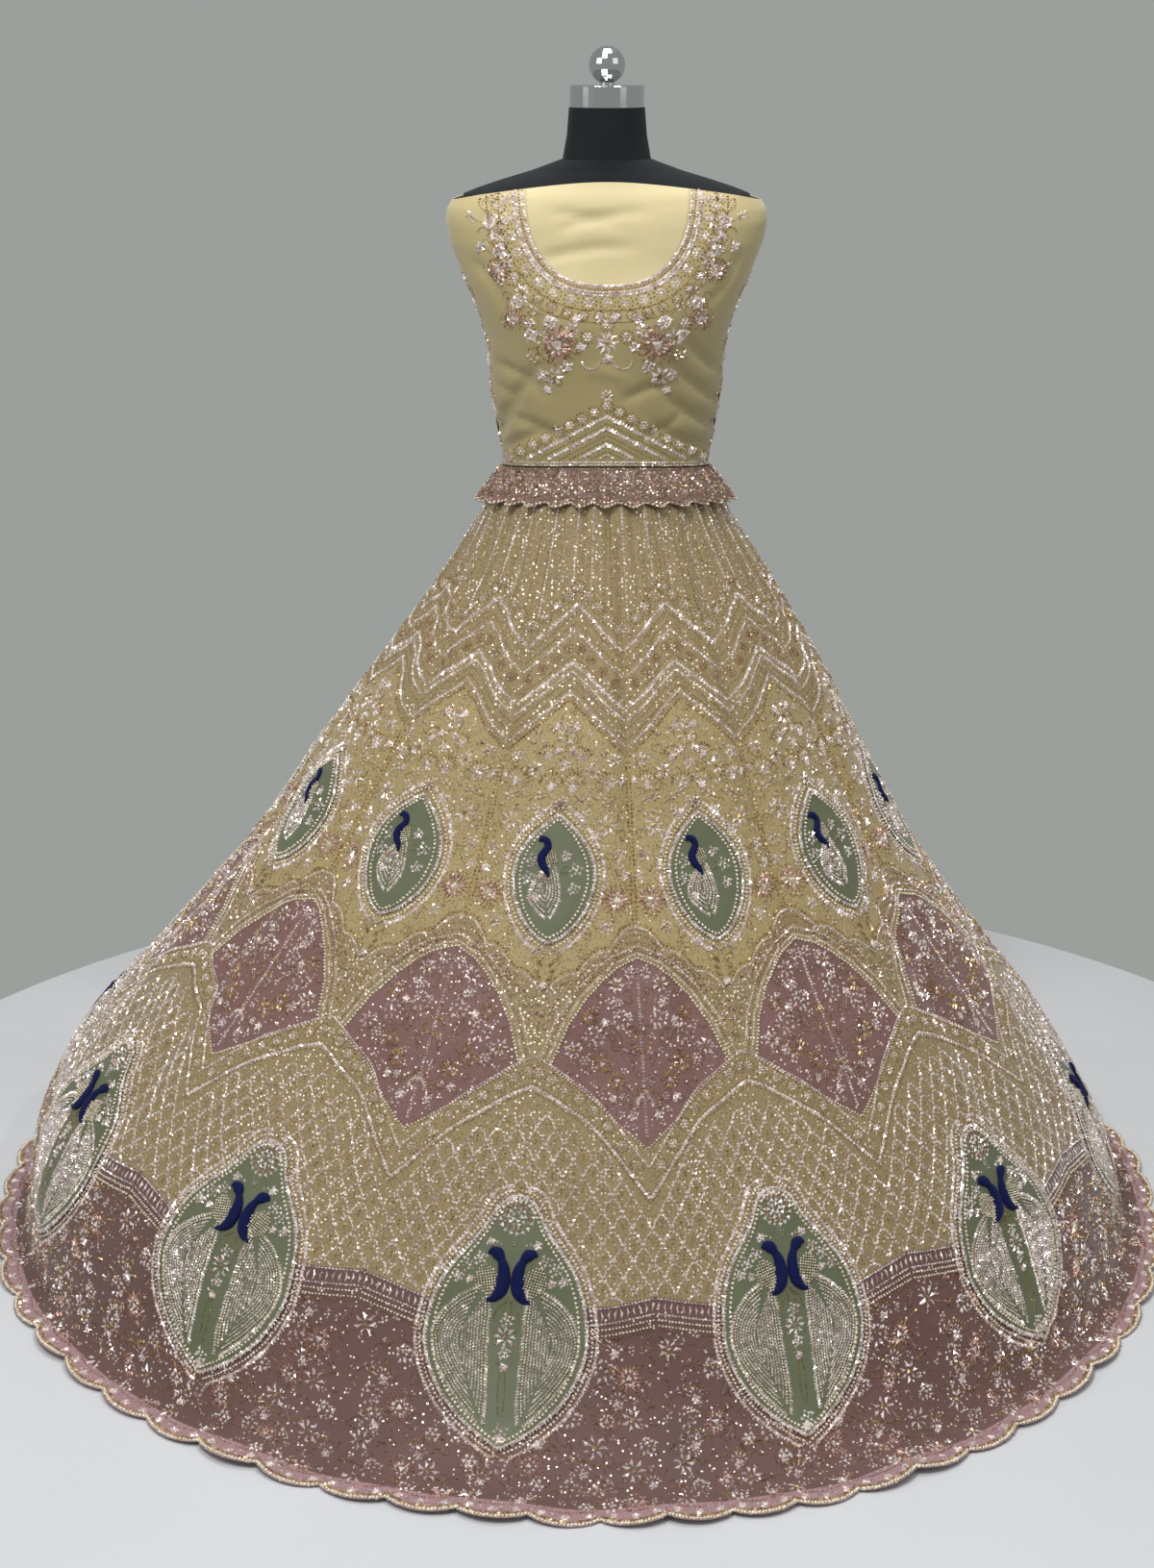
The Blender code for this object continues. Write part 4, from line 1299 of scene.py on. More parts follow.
def sew_scale(plan, across, slant, low):
    half = 0.5 / SCALES_ACROSS
    plan.beads(across, slant - 0.0035, UPRIGHT, 0.0052, 0.0026, SILVER)
    rise = min(1.0, (low - slant) / SCALE_HEIGHT) * np.array([0.0, 0.3, 0.62, 0.9])
    for side in (-1.0, 1.0):
        away = across + side * half * np.array([0.06, 0.52, 0.8, 0.88])
        if 0.0 <= away[-1] <= 1.0:
            plan.line(away, slant + SCALE_HEIGHT * rise, 0.0042, 0.0058, 0.0038, SILVER)
    middle = (across, slant + 0.55 * SCALE_HEIGHT)
    if middle[1] < low - 0.002:
        plan.beads(middle[0], middle[1], 0.0, 0.0036, 0.0036, GOLD)
        plan.beads(middle[0], middle[1] + 0.004, 0.0, 0.0026, 0.0026, ROSE)


print("scales in a row:", SCALES_ACROSS)

# %% [markdown]
# The border starts with a ladder of silver bars between lines. Its pink field is
# filled with flowers, fans, leaves and curls in uneven rows, among waving vines of
# gold, and a corded edge of pearls follows the scallops at the hem.

# %% Border
BARS = 44
HEM_SLANT = 1.205
SCALLOP_DEPTH = 0.012
SCALLOPS = 5
SCALLOP_ROUNDNESS = 0.7
FIELD_ROWS = (
    # slant, motifs in the row, first share
    (1.002, 10, 0.05), (1.028, 11, 0.0), (1.054, 11, 0.045), (1.08, 11, 0.0), (1.106, 12, 0.04),
    (1.132, 12, 0.0), (1.157, 12, 0.04), (1.178, 12, 0.0),
)
VINE_ROWS = (1.016, 1.068, 1.12, 1.166)
VINE_SWING = 0.008
VINE_WAVES = 3.0
FIELD_MOTIFS = (
    # motif, size
    ("daisy", 0.0145), ("sprig", 0.0325), ("fan", 0.0197), ("leaf", 0.0255), ("rosette", 0.0133),
    ("heap", 0.0139), ("bloom", 0.0174), ("sprig", 0.0278), ("fan", 0.0174), ("leaf", 0.022),
    ("daisy", 0.0162), ("curl", 0.0104), ("heap", 0.0116), ("bloom", 0.0151),
)


def hem_at(share):
    """Slant of the scalloped edge."""
    return HEM_SLANT + SCALLOP_DEPTH * np.abs(np.sin(math.pi * SCALLOPS * share)) ** SCALLOP_ROUNDNESS


def ladder_at(share):
    distance = 0.5 - np.abs(np.asarray(share) - 0.5)
    return LADDER_TIP + 2.0 * LADDER_FALL * distance


def sew_ladder(plan):
    share = np.linspace(0.004, 0.996, 31)
    top = ladder_at(share)
    for step, row in (
        (0.002, LADDER_RAIL), (0.019, LADDER_RAIL), (0.0255, LADDER_PEARLS), (0.032, LADDER_PEARLS),
        (0.0365, (0.0034, 0.0022, 0.002, GOLD)),
    ):
        plan.line(share, top + step, *row)
    for i in range(BARS):
        place = (i + 0.5) / BARS
        start = float(ladder_at(place))
        plan.beads(place, start + 0.0105, UPRIGHT, 0.012, 0.0032, SILVER)


def sew_field(plan):
    count = 0
    chance = np.random.default_rng(11)
    for slant, motifs, first in FIELD_ROWS:
        for i in range(motifs):
            across = first + i / motifs + chance.uniform(-0.012, 0.012)
            row = slant + chance.uniform(-0.005, 0.005)
            motif, size = FIELD_MOTIFS[count % len(FIELD_MOTIFS)]
            count += 1
            side = 1.0 if chance.uniform() < 0.5 else -1.0
            if 0.02 < across < 0.98:
                sew_motif(plan, (across, row), motif, size, side)
    share = np.linspace(0.01, 0.99, 61)
    for row in VINE_ROWS:
        swing = VINE_SWING * np.sin(2.0 * math.pi * (VINE_WAVES * share + row * 40.0))
        plan.line(share, row + swing, 0.0046, 0.0044, 0.0026, GOLD)
    fill(plan, lambda across, slant: slant < 1.186, 20, (0.993, 1.186), 0.015, 22)


def sew_hem(plan):
    share = np.linspace(0.003, 0.997, 101)
    edge = hem_at(share)
    plan.line(share, edge - 0.0235, 0.0036, 0.003, 0.0026, ROSE)
    plan.line(share, edge - 0.0082, 0.004, 0.0056, 0.004, GOLD, 0.7)
    plan.line(share, edge - 0.003, 0.0042, 0.0074, 0.0056, PEARL, 0.6)
    for place in np.linspace(0.03, 0.97, 15):
        row = float(hem_at(place)) - 0.0145
        cluster(plan, (place, row), 0.0042)


print("bars in a ladder:", BARS)

# %% [markdown]
# A peacock is a traditional figure on such skirts. On the small leaf one bird stands
# alone. On the large leaf two face away from each other, with their tails side by
# side. Tails are nested drops of beads, wings are close rows of pearls, and the necks
# are raised strips of navy velvet.

# %% Peacock patches
SMALL_CENTRE = (0.5, 0.473)
LARGE_CENTRE = (0.5, 1.0)
LARGE_TAIL = (
    # metres above the centre, middle of the tail left of it, half width
    (0.062, 0.026, 0.006), (0.05, 0.036, 0.016), (0.03, 0.045, 0.026), (0.004, 0.05, 0.031),
    (-0.028, 0.046, 0.028), (-0.062, 0.034, 0.017), (-0.09, 0.022, 0.003),
)
SMALL_TAIL = (
    (0.012, -0.003, 0.003), (0.002, -0.006, 0.0095), (-0.014, -0.009, 0.0165), (-0.029, -0.009, 0.0175),
    (-0.042, -0.006, 0.0095), (-0.05, -0.003, 0.002),
)
LARGE_DROPS = (1.0, 0.86, 0.75, 0.64, 0.53, 0.42, 0.31, 0.2, 0.09)
SMALL_DROPS = (1.0, 0.78, 0.56, 0.36, 0.16)
LARGE_NECK = (
    # metres left of the centre, metres above it, half width
    (0.0275, 0.0985, 0.0006), (0.023, 0.1, 0.004), (0.017, 0.0985, 0.0056), (0.012, 0.0915, 0.0034),
    (0.0085, 0.082, 0.005), (0.0078, 0.069, 0.0062), (0.01, 0.057, 0.0054), (0.0165, 0.049, 0.0032),
    (0.0255, 0.0455, 0.0006),
)
SMALL_NECK = (
    (0.0205, 0.0395, 0.0006), (0.0165, 0.0425, 0.0026), (0.012, 0.0405, 0.0032), (0.0095, 0.034, 0.003),
    (0.0125, 0.0275, 0.0036), (0.016, 0.021, 0.0038), (0.0145, 0.0135, 0.0036), (0.0095, 0.0065, 0.0028),
    (0.006, -0.001, 0.0008),
)
print("drops in a large and a small tail:", len(LARGE_DROPS), len(SMALL_DROPS))

# %% Rims, tails and wings
def sew_outline(plan, table, half_width, rows):
    """Rows of beads inside a leaf's edge, each at its own distance from it."""
    slants, shares = leaf_edge(table)
    centre = (slants[0] + slants[-1]) / 2.0
    for inset, spacing, length, width, kind, slope in rows:
        shrink = 1.0 - 1.5 * inset / half_width
        down = centre + (slants - centre) * (1.0 - inset / ((slants[-1] - slants[0]) / 2.0))
        for side in (-1.0, 1.0):
            across = 0.5 + side * shares * half_width * shrink / panel_width(down)
            plan.line(across, down, spacing, length, width, kind, slope)


def sew_rim(plan, table, half_width):
    """Rows of beads on the panel just outside a patch."""
    slants, shares = leaf_edge(table)
    centre = (slants[0] + slants[-1]) / 2.0
    for offset, spacing, length, width, kind, slope in (
        (0.0044, 0.0048, 0.005, 0.005, PEARL, 0.0), (0.0096, 0.0042, 0.0072, 0.0052, SILVER, 0.8),
    ):
        down = centre + (slants - centre) * (1.0 + offset / ((slants[-1] - slants[0]) / 2.0))
        for side in (-1.0, 1.0):
            across = 0.5 + side * (shares * half_width + offset) / panel_width(down)
            plan.line(across, down, spacing, length, width, kind, slope)


def sew_tail(plan, origin, table, side, shares, spacing, size):
    """Nested drops of beads, the largest first."""
    height, middle = smooth_curve([row[:2] for row in table], steps=8)[1:]
    half = np.interp(-height, [-row[0] for row in table], [row[2] for row in table])
    heart = table[len(table) // 2][0] * 0.5
    for i, share in enumerate(shares):
        y = heart + (height - heart) * (0.15 + 0.85 * share)
        spine = np.interp(-heart, -height, middle)
        spine = spine + (middle - spine) * share
        for edge in (-1.0, 1.0):
            x = side * (-spine + edge * half * share)
            across, down = plan.near(origin, x, y)
            if i == 0:
                plan.line(across, down, spacing, 1.35 * size, 0.75 * size, SILVER, side * edge * 1.1)
            else:
                kind = PEARL if i == 1 else SILVER
                plan.line(across, down, spacing, 0.92 * size, 0.6 * size, kind)


def sew_wing(plan, origin, centre, half_width, half_height, pitch, tilt):
    """Close rows of pearls in an oval."""
    columns = np.arange(-9, 10) * pitch
    x, y = np.meshgrid(columns, columns)
    inside = (x / half_width) ** 2 + (y / half_height) ** 2 < 1.0
    x, y = x[inside], y[inside]
    turned_x = centre[0] + x * math.cos(tilt) - y * math.sin(tilt)
    turned_y = centre[1] + x * math.sin(tilt) + y * math.cos(tilt)
    across, down = plan.near(origin, turned_x, turned_y)
    plan.beads(across, down, tilt, pitch, pitch, PEARL)


print("rims, tails and wings are ready")

# %% The two patches
def sew_large_patch(plan):
    def at(x, y):
        return plan.near(LARGE_CENTRE, x, y)

    sew_outline(plan, LARGE_LEAF, LARGE_HALF_WIDTH, (
        (0.0012, 0.0042, 0.0068, 0.0054, SILVER, 0.9), (0.007, 0.0052, 0.0054, 0.0054, PEARL, 0.0),
    ))
    for side in (-1.0, 1.0):
        sew_tail(plan, LARGE_CENTRE, LARGE_TAIL, -side, LARGE_DROPS, 0.0034, 0.005)
        sew_wing(plan, LARGE_CENTRE, (side * 0.0265, 0.069), 0.013, 0.0175, 0.0031, -side * 0.25)
        for x, y, size in ((0.036, 0.092, 0.008), (0.048, 0.083, 0.008), (0.058, 0.07, 0.006),
                           (0.026, 0.11, 0.005), (0.045, 0.068, 0.004)):
            cluster(plan, at(side * x, y), size)
        plan.curve(LARGE_CENTRE, ((side * 0.003, 0.047), (side * 0.011, 0.038), (side * 0.015, 0.026)),
                   0.0028, 0.0026, 0.0022, GOLD)
        plan.curve(LARGE_CENTRE, ((0.0, 0.052), (side * 0.004, 0.04), (side * 0.003, 0.028)),
                   0.0028, 0.0026, 0.0022, GOLD)
    for side in (-1.0, 1.0):
        for x, y in ((0.014, 0.1085), (0.0185, 0.1105), (0.023, 0.1085)):
            plan.beads(*at(side * x, y), UPRIGHT, 0.005, 0.0026, SILVER)
        for x, y in ((0.01, 0.014), (0.011, 0.0), (0.006, -0.022)):
            plan.beads(*at(side * x, y), side * 0.7, 0.006, 0.0036, ROSE)
        plan.curve(LARGE_CENTRE, ((side * 0.002, -0.026), (side * 0.004, -0.05), (side * 0.002, -0.08)),
                   0.003, 0.0024, 0.0018, GOLD)
    for radius, count, kind in (
        (0.0185, 17, SILVER), (0.014, 14, ROSE), (0.0095, 10, SILVER), (0.005, 5, SILVER),
    ):
        plan.ring(at(0.0, 0.14), radius, count, 0.0056, kind)
    leaf(plan, at(0.0, 0.108), 0.014, UPRIGHT, SILVER)
    daisy(plan, at(0.0, 0.008), 0.0135, 8, SILVER, ROSE)
    for y, size in ((0.026, 0.008), (-0.01, 0.007), (-0.026, 0.004), (-0.096, 0.009), (-0.106, 0.005)):
        cluster(plan, at(0.0, y), size)


def sew_small_patch(plan):
    sew_outline(plan, SMALL_LEAF, SMALL_HALF_WIDTH, (
        (0.001, 0.004, 0.0064, 0.005, SILVER, 0.9), (0.0064, 0.0048, 0.005, 0.005, PEARL, 0.0),
    ))
    sew_tail(plan, SMALL_CENTRE, SMALL_TAIL, -1.0, SMALL_DROPS, 0.003, 0.005)
    sew_wing(plan, SMALL_CENTRE, (-0.005, 0.0205), 0.0072, 0.0095, 0.0027, 0.3)
    for x, y, size in ((-0.026, 0.016, 0.0085), (-0.03, -0.004, 0.008), (-0.02, -0.026, 0.005),
                       (0.012, 0.024, 0.006), (0.024, 0.008, 0.0085), (0.024, -0.014, 0.007)):
        cluster(plan, plan.near(SMALL_CENTRE, x, y), size)
    curl(plan, plan.near(SMALL_CENTRE, -0.016, -0.01), 0.006)
    leaf(plan, plan.near(SMALL_CENTRE, 0.008, 0.004), 0.014, 0.6)
    daisy(plan, (0.5, 0.389), 0.008, 7, SILVER, ROSE)
    for side in (-1.0, 1.0):
        plan.curve((0.5, 0.56), ((0.0, -0.003), (side * 0.009, 0.003), (side * 0.018, -0.003)),
                   0.0032, 0.004, 0.0024, SILVER)
        for reach, drop in ((0.006, 0.012), (0.009, 0.02), (0.006, 0.028)):
            place = plan.near((0.5, 0.562), side * reach, -drop)
            plan.beads(*place, side * 0.9, 0.008, 0.0036, GOLD)
    cluster(plan, (0.5, 0.6), 0.004)


print("both patches are drawn")

# %% [markdown]
# One panel's plan is drawn once, and all twelve panels use it. Beads that a patch
# would cover are left out, and the rest is cut in two where the border begins.

# %% The plan of one panel
def plan_panel():
    """Bead plans of one panel: cream part, border, small patch, large patch."""
    cream = Plan(panel_width)
    for step in (sew_stripes, sew_points, sew_middle, sew_arches, sew_arch_ground, sew_scales):
        step(cream)
    sew_rim(cream, SMALL_LEAF, SMALL_HALF_WIDTH)
    sew_rim(cream, LARGE_LEAF, LARGE_HALF_WIDTH)
    pink = Plan(panel_width)
    for step in (sew_ladder, sew_field, sew_hem):
        step(pink)
    small = Plan(panel_width)
    sew_small_patch(small)
    large = Plan(panel_width)
    sew_large_patch(large)
    ground = np.vstack([cream.all(), pink.all()])
    hidden = under_patch(ground[:, 0], ground[:, 1], SMALL_LEAF, SMALL_HALF_WIDTH, 0.002)
    hidden |= under_patch(ground[:, 0], ground[:, 1], LARGE_LEAF, LARGE_HALF_WIDTH, 0.002)
    hidden |= (ground[:, 0] < 0.001) | (ground[:, 0] > 0.999)
    ground = ground[~hidden]
    upper = ground[:, 1] < BORDER_FROM
    return ground[upper], ground[~upper], small.all(), large.all()


CREAM_PLAN, BORDER_PLAN, SMALL_PLAN, LARGE_PLAN = plan_panel()
print("beads planned on cream, border, small and large leaf:",
      [len(plan) for plan in (CREAM_PLAN, BORDER_PLAN, SMALL_PLAN, LARGE_PLAN)])

# %% [markdown]
# Now the twelve panels are made from the same plans. Each gets its own seed, so the
# beads of no two panels tilt alike. A patch is a leaf cut from green satin and padded
# in the middle, and it lies just off the panel.

# %% Making the panels
SEAM_SHARE = 0.0001
STEP_ACROSS = 0.002
STEP_ALONG = 0.001
KALI_GRID = (30, 52)
BORDER_GRID = (50, 15)
PATCH_LIFT = 0.0022
PATCH_HEM = 0.004
PATCHES = (
    # name, outline, half width, padding, columns, rows, bead plan, seed, middle
    ("small", SMALL_LEAF, SMALL_HALF_WIDTH, 0.0015, 10, 18, SMALL_PLAN, 3, SMALL_CENTRE),
    ("large", LARGE_LEAF, LARGE_HALF_WIDTH, 0.003, 16, 30, LARGE_PLAN, 4, LARGE_CENTRE),
)
NECKS = (
    # middle of the patch, outline, side
    (SMALL_CENTRE, SMALL_NECK, 1.0), (LARGE_CENTRE, LARGE_NECK, 1.0), (LARGE_CENTRE, LARGE_NECK, -1.0),
)


def on_panel(panel):
    """The panel's outer face, read by share across and slant."""
    def surface(across, slant):
        return skirt_point((panel + across) * PITCH, slant)
    return surface


def raised(surface, lift):
    """A surface moved outwards by a lift that may change from place to place."""
    def moved(across, slant):
        point, right, below, outward = frame_at(surface, across, slant, STEP_ACROSS, STEP_ALONG)
        return point + np.asarray(lift(across, slant))[..., None] * outward
    return moved


def leaf_lift(table, half_width, pad):
    """The height of a padded patch over the panel."""
    slants, shares = leaf_edge(table)

    def lift(across, slant):
        half = np.maximum(np.interp(slant, slants, shares) * half_width, 1e-4)
        off = np.clip(np.abs(across - 0.5) * panel_width(slant) / half, 0.0, 1.0)
        return PATCH_LIFT + pad * (1.0 - off ** 2) * np.minimum(half / half_width * 1.5, 1.0)
    return lift


def girth(points):
    """The length of a row of points."""
    return float(np.linalg.norm(np.diff(points, axis=0), axis=1).sum())


def make_panel_sheet(name, panel, grid, top, bottom, finish):
    """The cloth of one panel between a slant and a rule for its lower edge."""
    surface = on_panel(panel)

    def place(u, v):
        across = SEAM_SHARE + u * (1.0 - 2.0 * SEAM_SHARE)
        end = bottom(across)
        slant = top + v * (end - top)
        return surface(across, slant), np.stack([across, slant], axis=1)
    return cloth_sheet(name, *grid, place, finish)


def make_leaf(name, panel, table, half_width, pad, columns, rows):
    slants, shares = leaf_edge(table)
    surface = raised(on_panel(panel), leaf_lift(table, half_width, pad))

    def place(u, v):
        slant = slants[0] + 0.001 + v * (slants[-1] - slants[0] - 0.002)
        half = np.interp(slant, slants, shares) * half_width
        across = 0.5 + (2.0 * u - 1.0) * half / panel_width(slant)
        return surface(across, slant), np.stack([across, slant], axis=1)
    piece, area = cloth_sheet(name, columns, rows, place, GREEN)
    flat = (2.0 * half_width + PATCH_HEM, slants[-1] - slants[0] + PATCH_HEM)
    return piece, area, surface, flat


print("patches on a panel:", len(PATCHES))

# %% Velvet necks
def make_necks(name, surface, necks):
    """Raised velvet strips. Each neck is a table of left, up and half width."""
    velvet = bmesh.new()
    plan = Plan(panel_width)
    for origin, table, side in necks:
        knots = np.array(table)
        length, left, up = smooth_curve(knots[:, :2], steps=5)
        chord = np.r_[0.0, np.cumsum(np.linalg.norm(np.diff(knots[:, :2], axis=0), axis=1))]
        half = np.interp(length / length[-1], chord / chord[-1], knots[:, 2])
        tangent = np.gradient(np.stack([-side * left, up], axis=1), axis=0)
        tangent = tangent / np.linalg.norm(tangent, axis=1, keepdims=True)
        grid = bmesh.ops.create_grid(velvet, x_segments=6, y_segments=len(left) - 1, size=0.5)
        share = np.array([vertex.co[:2] for vertex in grid["verts"]]) + 0.5
        row = np.rint(share[:, 1] * (len(left) - 1)).astype(int)
        off = 2.0 * share[:, 0] - 1.0
        x = -side * left[row] - 1.25 * off * half[row] * tangent[row, 1]
        y = up[row] + 1.25 * off * half[row] * tangent[row, 0]
        across, slant = plan.near(origin, x, y)
        point, right, below, outward = frame_at(surface(origin), across, slant, STEP_ACROSS, STEP_ALONG)
        dome = np.sqrt(np.clip(1.0 - off ** 2, 0.0, 1.0)) * np.minimum(half[row] / 0.004, 1.2)
        dome = 0.0006 + 0.003 * dome
        for vertex, place in zip(grid["verts"], point + dome[:, None] * outward):
            vertex.co = place
    for face in velvet.faces:
        face.smooth = True
    bmesh.ops.solidify(velvet, geom=velvet.faces[:], thickness=0.0004)
    bmesh.ops.recalc_face_normals(velvet, faces=velvet.faces[:])
    mesh = bpy.data.meshes.new(name)
    velvet.to_mesh(mesh)
    velvet.free()
    return link(name, mesh, [VELVET])


print("necks on a panel:", len(NECKS))

# %% Twelve panels
def ride_along(piece):
    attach(piece, BODY)
    return piece


def make_panel(panel):
    """One panel: cream cloth, border, two leaves, and the beads and necks on them."""
    number = f"{panel + 1:02d}"
    surface = on_panel(panel)
    seed = 100 * panel
    cream_beads = sew(f"kali_beads_{number}", CREAM_PLAN, surface, STEP_ACROSS, BEADS, seed + 1)
    border_beads = sew(f"border_beads_{number}", BORDER_PLAN, surface, STEP_ACROSS, BEADS, seed + 2)
    kali, area = make_panel_sheet(
        f"kali_cloth_{number}", panel, KALI_GRID, 0.0, lambda across: np.full_like(across, BORDER_FROM), KALI
    )
    share = np.linspace(0.0, 1.0, 61)
    width = girth(surface(share, np.full_like(share, BORDER_FROM)))
    declare(kali, f"kali_{number}", (width, BORDER_FROM), area,
            [ride_along(cream_beads)])
    border, area = make_panel_sheet(
        f"border_cloth_{number}", panel, BORDER_GRID, BORDER_FROM, hem_at, BORDER
    )
    hem_width = girth(surface(share, np.full_like(share, HEM_SLANT)))
    print(f"kali_{number} is {width:.3f} wide at its foot, border_{number} {hem_width:.3f} at the hem")
    width = max(width, hem_width)
    flat = (width, HEM_SLANT + SCALLOP_DEPTH - BORDER_FROM)
    declare(border, f"border_{number}", flat, area,
            [ride_along(border_beads)])
    faces = {}
    for name, table, half_width, pad, columns, rows, plan, own_seed, centre in PATCHES:
        leaf_cloth, area, face, flat = make_leaf(
            f"{name}_leaf_{number}", panel, table, half_width, pad, columns, rows
        )
        beads = sew(f"{name}_leaf_beads_{number}", plan, face, STEP_ACROSS, BEADS, seed + own_seed)
        under = [kali] if name == "small" else [kali, border]
        declare(leaf_cloth, f"{name}_patch_{number}", flat, area,
                [ride_along(beads)])
        faces[centre] = face
    necks = make_necks(f"peacock_necks_{number}", faces.get, NECKS)
    ride_along(necks)


for panel in range(PANELS):
    make_panel(panel)
print("panels made:", PANELS)

# %% [markdown]
# The choli is a front and a back on the form. The sheets follow the same oval
# sections as the solids, a little off the form near the top edge, and soft slanting
# creases run in from the sides, as on cloth that is drawn tight.

# %% Choli sheets
FORM_SECTIONS = np.array((
    # height, half width, half depth, squareness of the oval
    (0.7, 0.147, 0.102, 2.0), (0.79, 0.153, 0.111, 2.0), (0.885, 0.1345, 0.102, 2.0),
    (0.92, 0.1245, 0.098, 2.0), (0.945, 0.1185, 0.095, 2.0), (0.97, 0.1182, 0.0945, 2.0),
    (1.008, 0.1256, 0.096, 2.0), (1.047, 0.1315, 0.0985, 2.0), (1.08, 0.1339, 0.1005, 2.05),
    (1.115, 0.1378, 0.1015, 2.1), (1.138, 0.1446, 0.1015, 2.15), (1.179, 0.1606, 0.0985, 2.25),
    (1.224, 0.1774, 0.09, 2.35), (1.247, 0.1808, 0.084, 2.4), (1.262, 0.1785, 0.079, 2.35),
    (1.279, 0.168, 0.072, 2.3), (1.286, 0.15, 0.067, 2.2), (1.295, 0.122, 0.062, 2.1),
    (1.305, 0.088, 0.056, 2.0),
))
BUST_HEIGHT = 1.135
BUST_SPACING = 0.06
BUST_SPREAD = 0.045
BUST_DEPTH = 0.014
CHOLI_HEM = 0.9532
CHOLI_TOP_AT_SIDES = 1.272
CHOLI_TOP_RISE = 0.023
CHOLI_LIFT = 0.0026
CHOLI_TOP_LIFT = 0.005
CHOLI_LOOSE_FROM = 1.2
CHOLI_PUFF = 0.0052
CHOLI_CREASE_DEPTH = 1.9
CHOLI_LOWEST = -0.0012
CHOLI_SIDE_GAP = 0.0014
CHOLI_GRID = (72, 64)
CHOLI_STEP = 0.0015
GIRTH_HEIGHTS = (1.1, 1.135, 1.18, 1.23)
CHOLI_CREASES = (
    # front view: x and height of the start, x and height of the end, depth, half width
    (0.128, 1.01, 0.05, 1.075, 0.004, 0.0056), (0.132, 1.04, 0.062, 1.11, 0.0036, 0.0056),
    (0.12, 0.985, 0.04, 1.035, 0.0036, 0.005), (-0.124, 1.0, -0.07, 1.1, 0.0042, 0.0062),
    (-0.07, 1.1, -0.076, 1.18, 0.0026, 0.0055), (-0.126, 1.06, -0.09, 1.02, 0.0024, 0.0045),
    (-0.06, 1.262, 0.03, 1.236, 0.0018, 0.005), (-0.05, 1.245, 0.06, 1.262, 0.002, 0.005),
    (-0.07, 1.212, 0.05, 1.222, 0.0022, 0.006),
    (0.15, 1.215, 0.105, 1.15, 0.0024, 0.005), (-0.15, 1.205, -0.112, 1.14, 0.0024, 0.005),
    (-0.02, 1.085, 0.035, 1.06, -0.0014, 0.006), (0.085, 1.03, 0.02, 1.0, 0.002, 0.0045),
    (-0.122, 1.026, -0.034, 0.992, 0.0038, 0.0055), (-0.126, 1.086, -0.06, 1.046, 0.003, 0.0055),
    (0.128, 1.078, 0.078, 1.146, 0.0034, 0.0055), (-0.118, 0.984, -0.05, 1.014, 0.003, 0.0045),
    (0.02, 1.05, 0.085, 1.066, 0.0026, 0.0055),
)
BACK_CREASES = (
    # the same, with x as on the front
    (0.12, 1.0, 0.03, 1.05, 0.0028, 0.005), (-0.12, 1.01, -0.036, 1.066, 0.0028, 0.005),
    (0.126, 1.06, 0.06, 1.11, 0.0024, 0.005), (-0.124, 1.08, -0.05, 1.14, 0.0024, 0.005),
    (0.14, 1.18, 0.08, 1.23, 0.002, 0.005), (-0.145, 1.19, -0.09, 1.245, 0.002, 0.005),
)
print("creases on the choli:", len(CHOLI_CREASES) + len(BACK_CREASES))

# %% Points of the form and the choli
def crease_depth(x, height, creases):
    """How far the creases draw the cloth in at a place in front view."""
    depth = np.zeros(np.broadcast(x, height).shape)
    for x0, z0, x1, z1, deep, half in creases:
        run = np.hypot(x1 - x0, z1 - z0)
        ux, uz = (x1 - x0) / run, (z1 - z0) / run
        along = (x - x0) * ux + (height - z0) * uz
        bow = 0.006 * np.sin(math.pi * np.clip(along / run, 0.0, 1.0))
        off = (x - x0) * uz - (height - z0) * ux + bow
        fade = ease(along, -0.01, 0.012) * (1.0 - ease(along, 0.45 * run, 1.05 * run))
        depth = depth + deep * fade * np.exp(-((off / half) ** 2))
    return depth


def form_section(height):
    """Half width, half depth and squareness of the form at a height."""
    return [np.interp(height, FORM_SECTIONS[:, 0], FORM_SECTIONS[:, i]) for i in (1, 2, 3)]


def form_point(angle, height, lift):
    """A point on the form at an angle from the front, or a set height over it."""
    half_width, half_depth, squareness = form_section(height)
    sine = np.sin(angle)
    cosine = np.cos(angle)
    x = (half_width + lift) * np.sign(sine) * np.abs(sine) ** (2.0 / squareness)
    y = -(half_depth + lift) * np.sign(cosine) * np.abs(cosine) ** (2.0 / squareness)
    upright = np.exp(-(((height - BUST_HEIGHT) / BUST_SPREAD) ** 2))
    beside = sum(np.exp(-(((x - side * BUST_SPACING) / BUST_SPREAD) ** 2)) for side in (-1, 1))
    y = y - BUST_DEPTH * upright * beside * np.clip(cosine, 0.0, 1.0)
    return np.stack(np.broadcast_arrays(x, y, height), axis=-1)


def choli_top(angle):
    return CHOLI_TOP_AT_SIDES + CHOLI_TOP_RISE * np.cos(angle) ** 2


def choli_point(angle, height, creases):
    """The choli's outer face, pushed out between its creases."""
    lift = CHOLI_LIFT + (CHOLI_TOP_LIFT - CHOLI_LIFT) * ease(height, CHOLI_LOOSE_FROM, CHOLI_TOP_AT_SIDES)
    rough = form_point(angle, height, lift)
    puff = CHOLI_PUFF - CHOLI_CREASE_DEPTH * crease_depth(rough[..., 0], rough[..., 2], creases)
    puff = np.maximum(puff, CHOLI_LOWEST)
    return form_point(angle, height, lift + puff)


print("the choli's front top stands at", round(choli_top(0.0), 3))

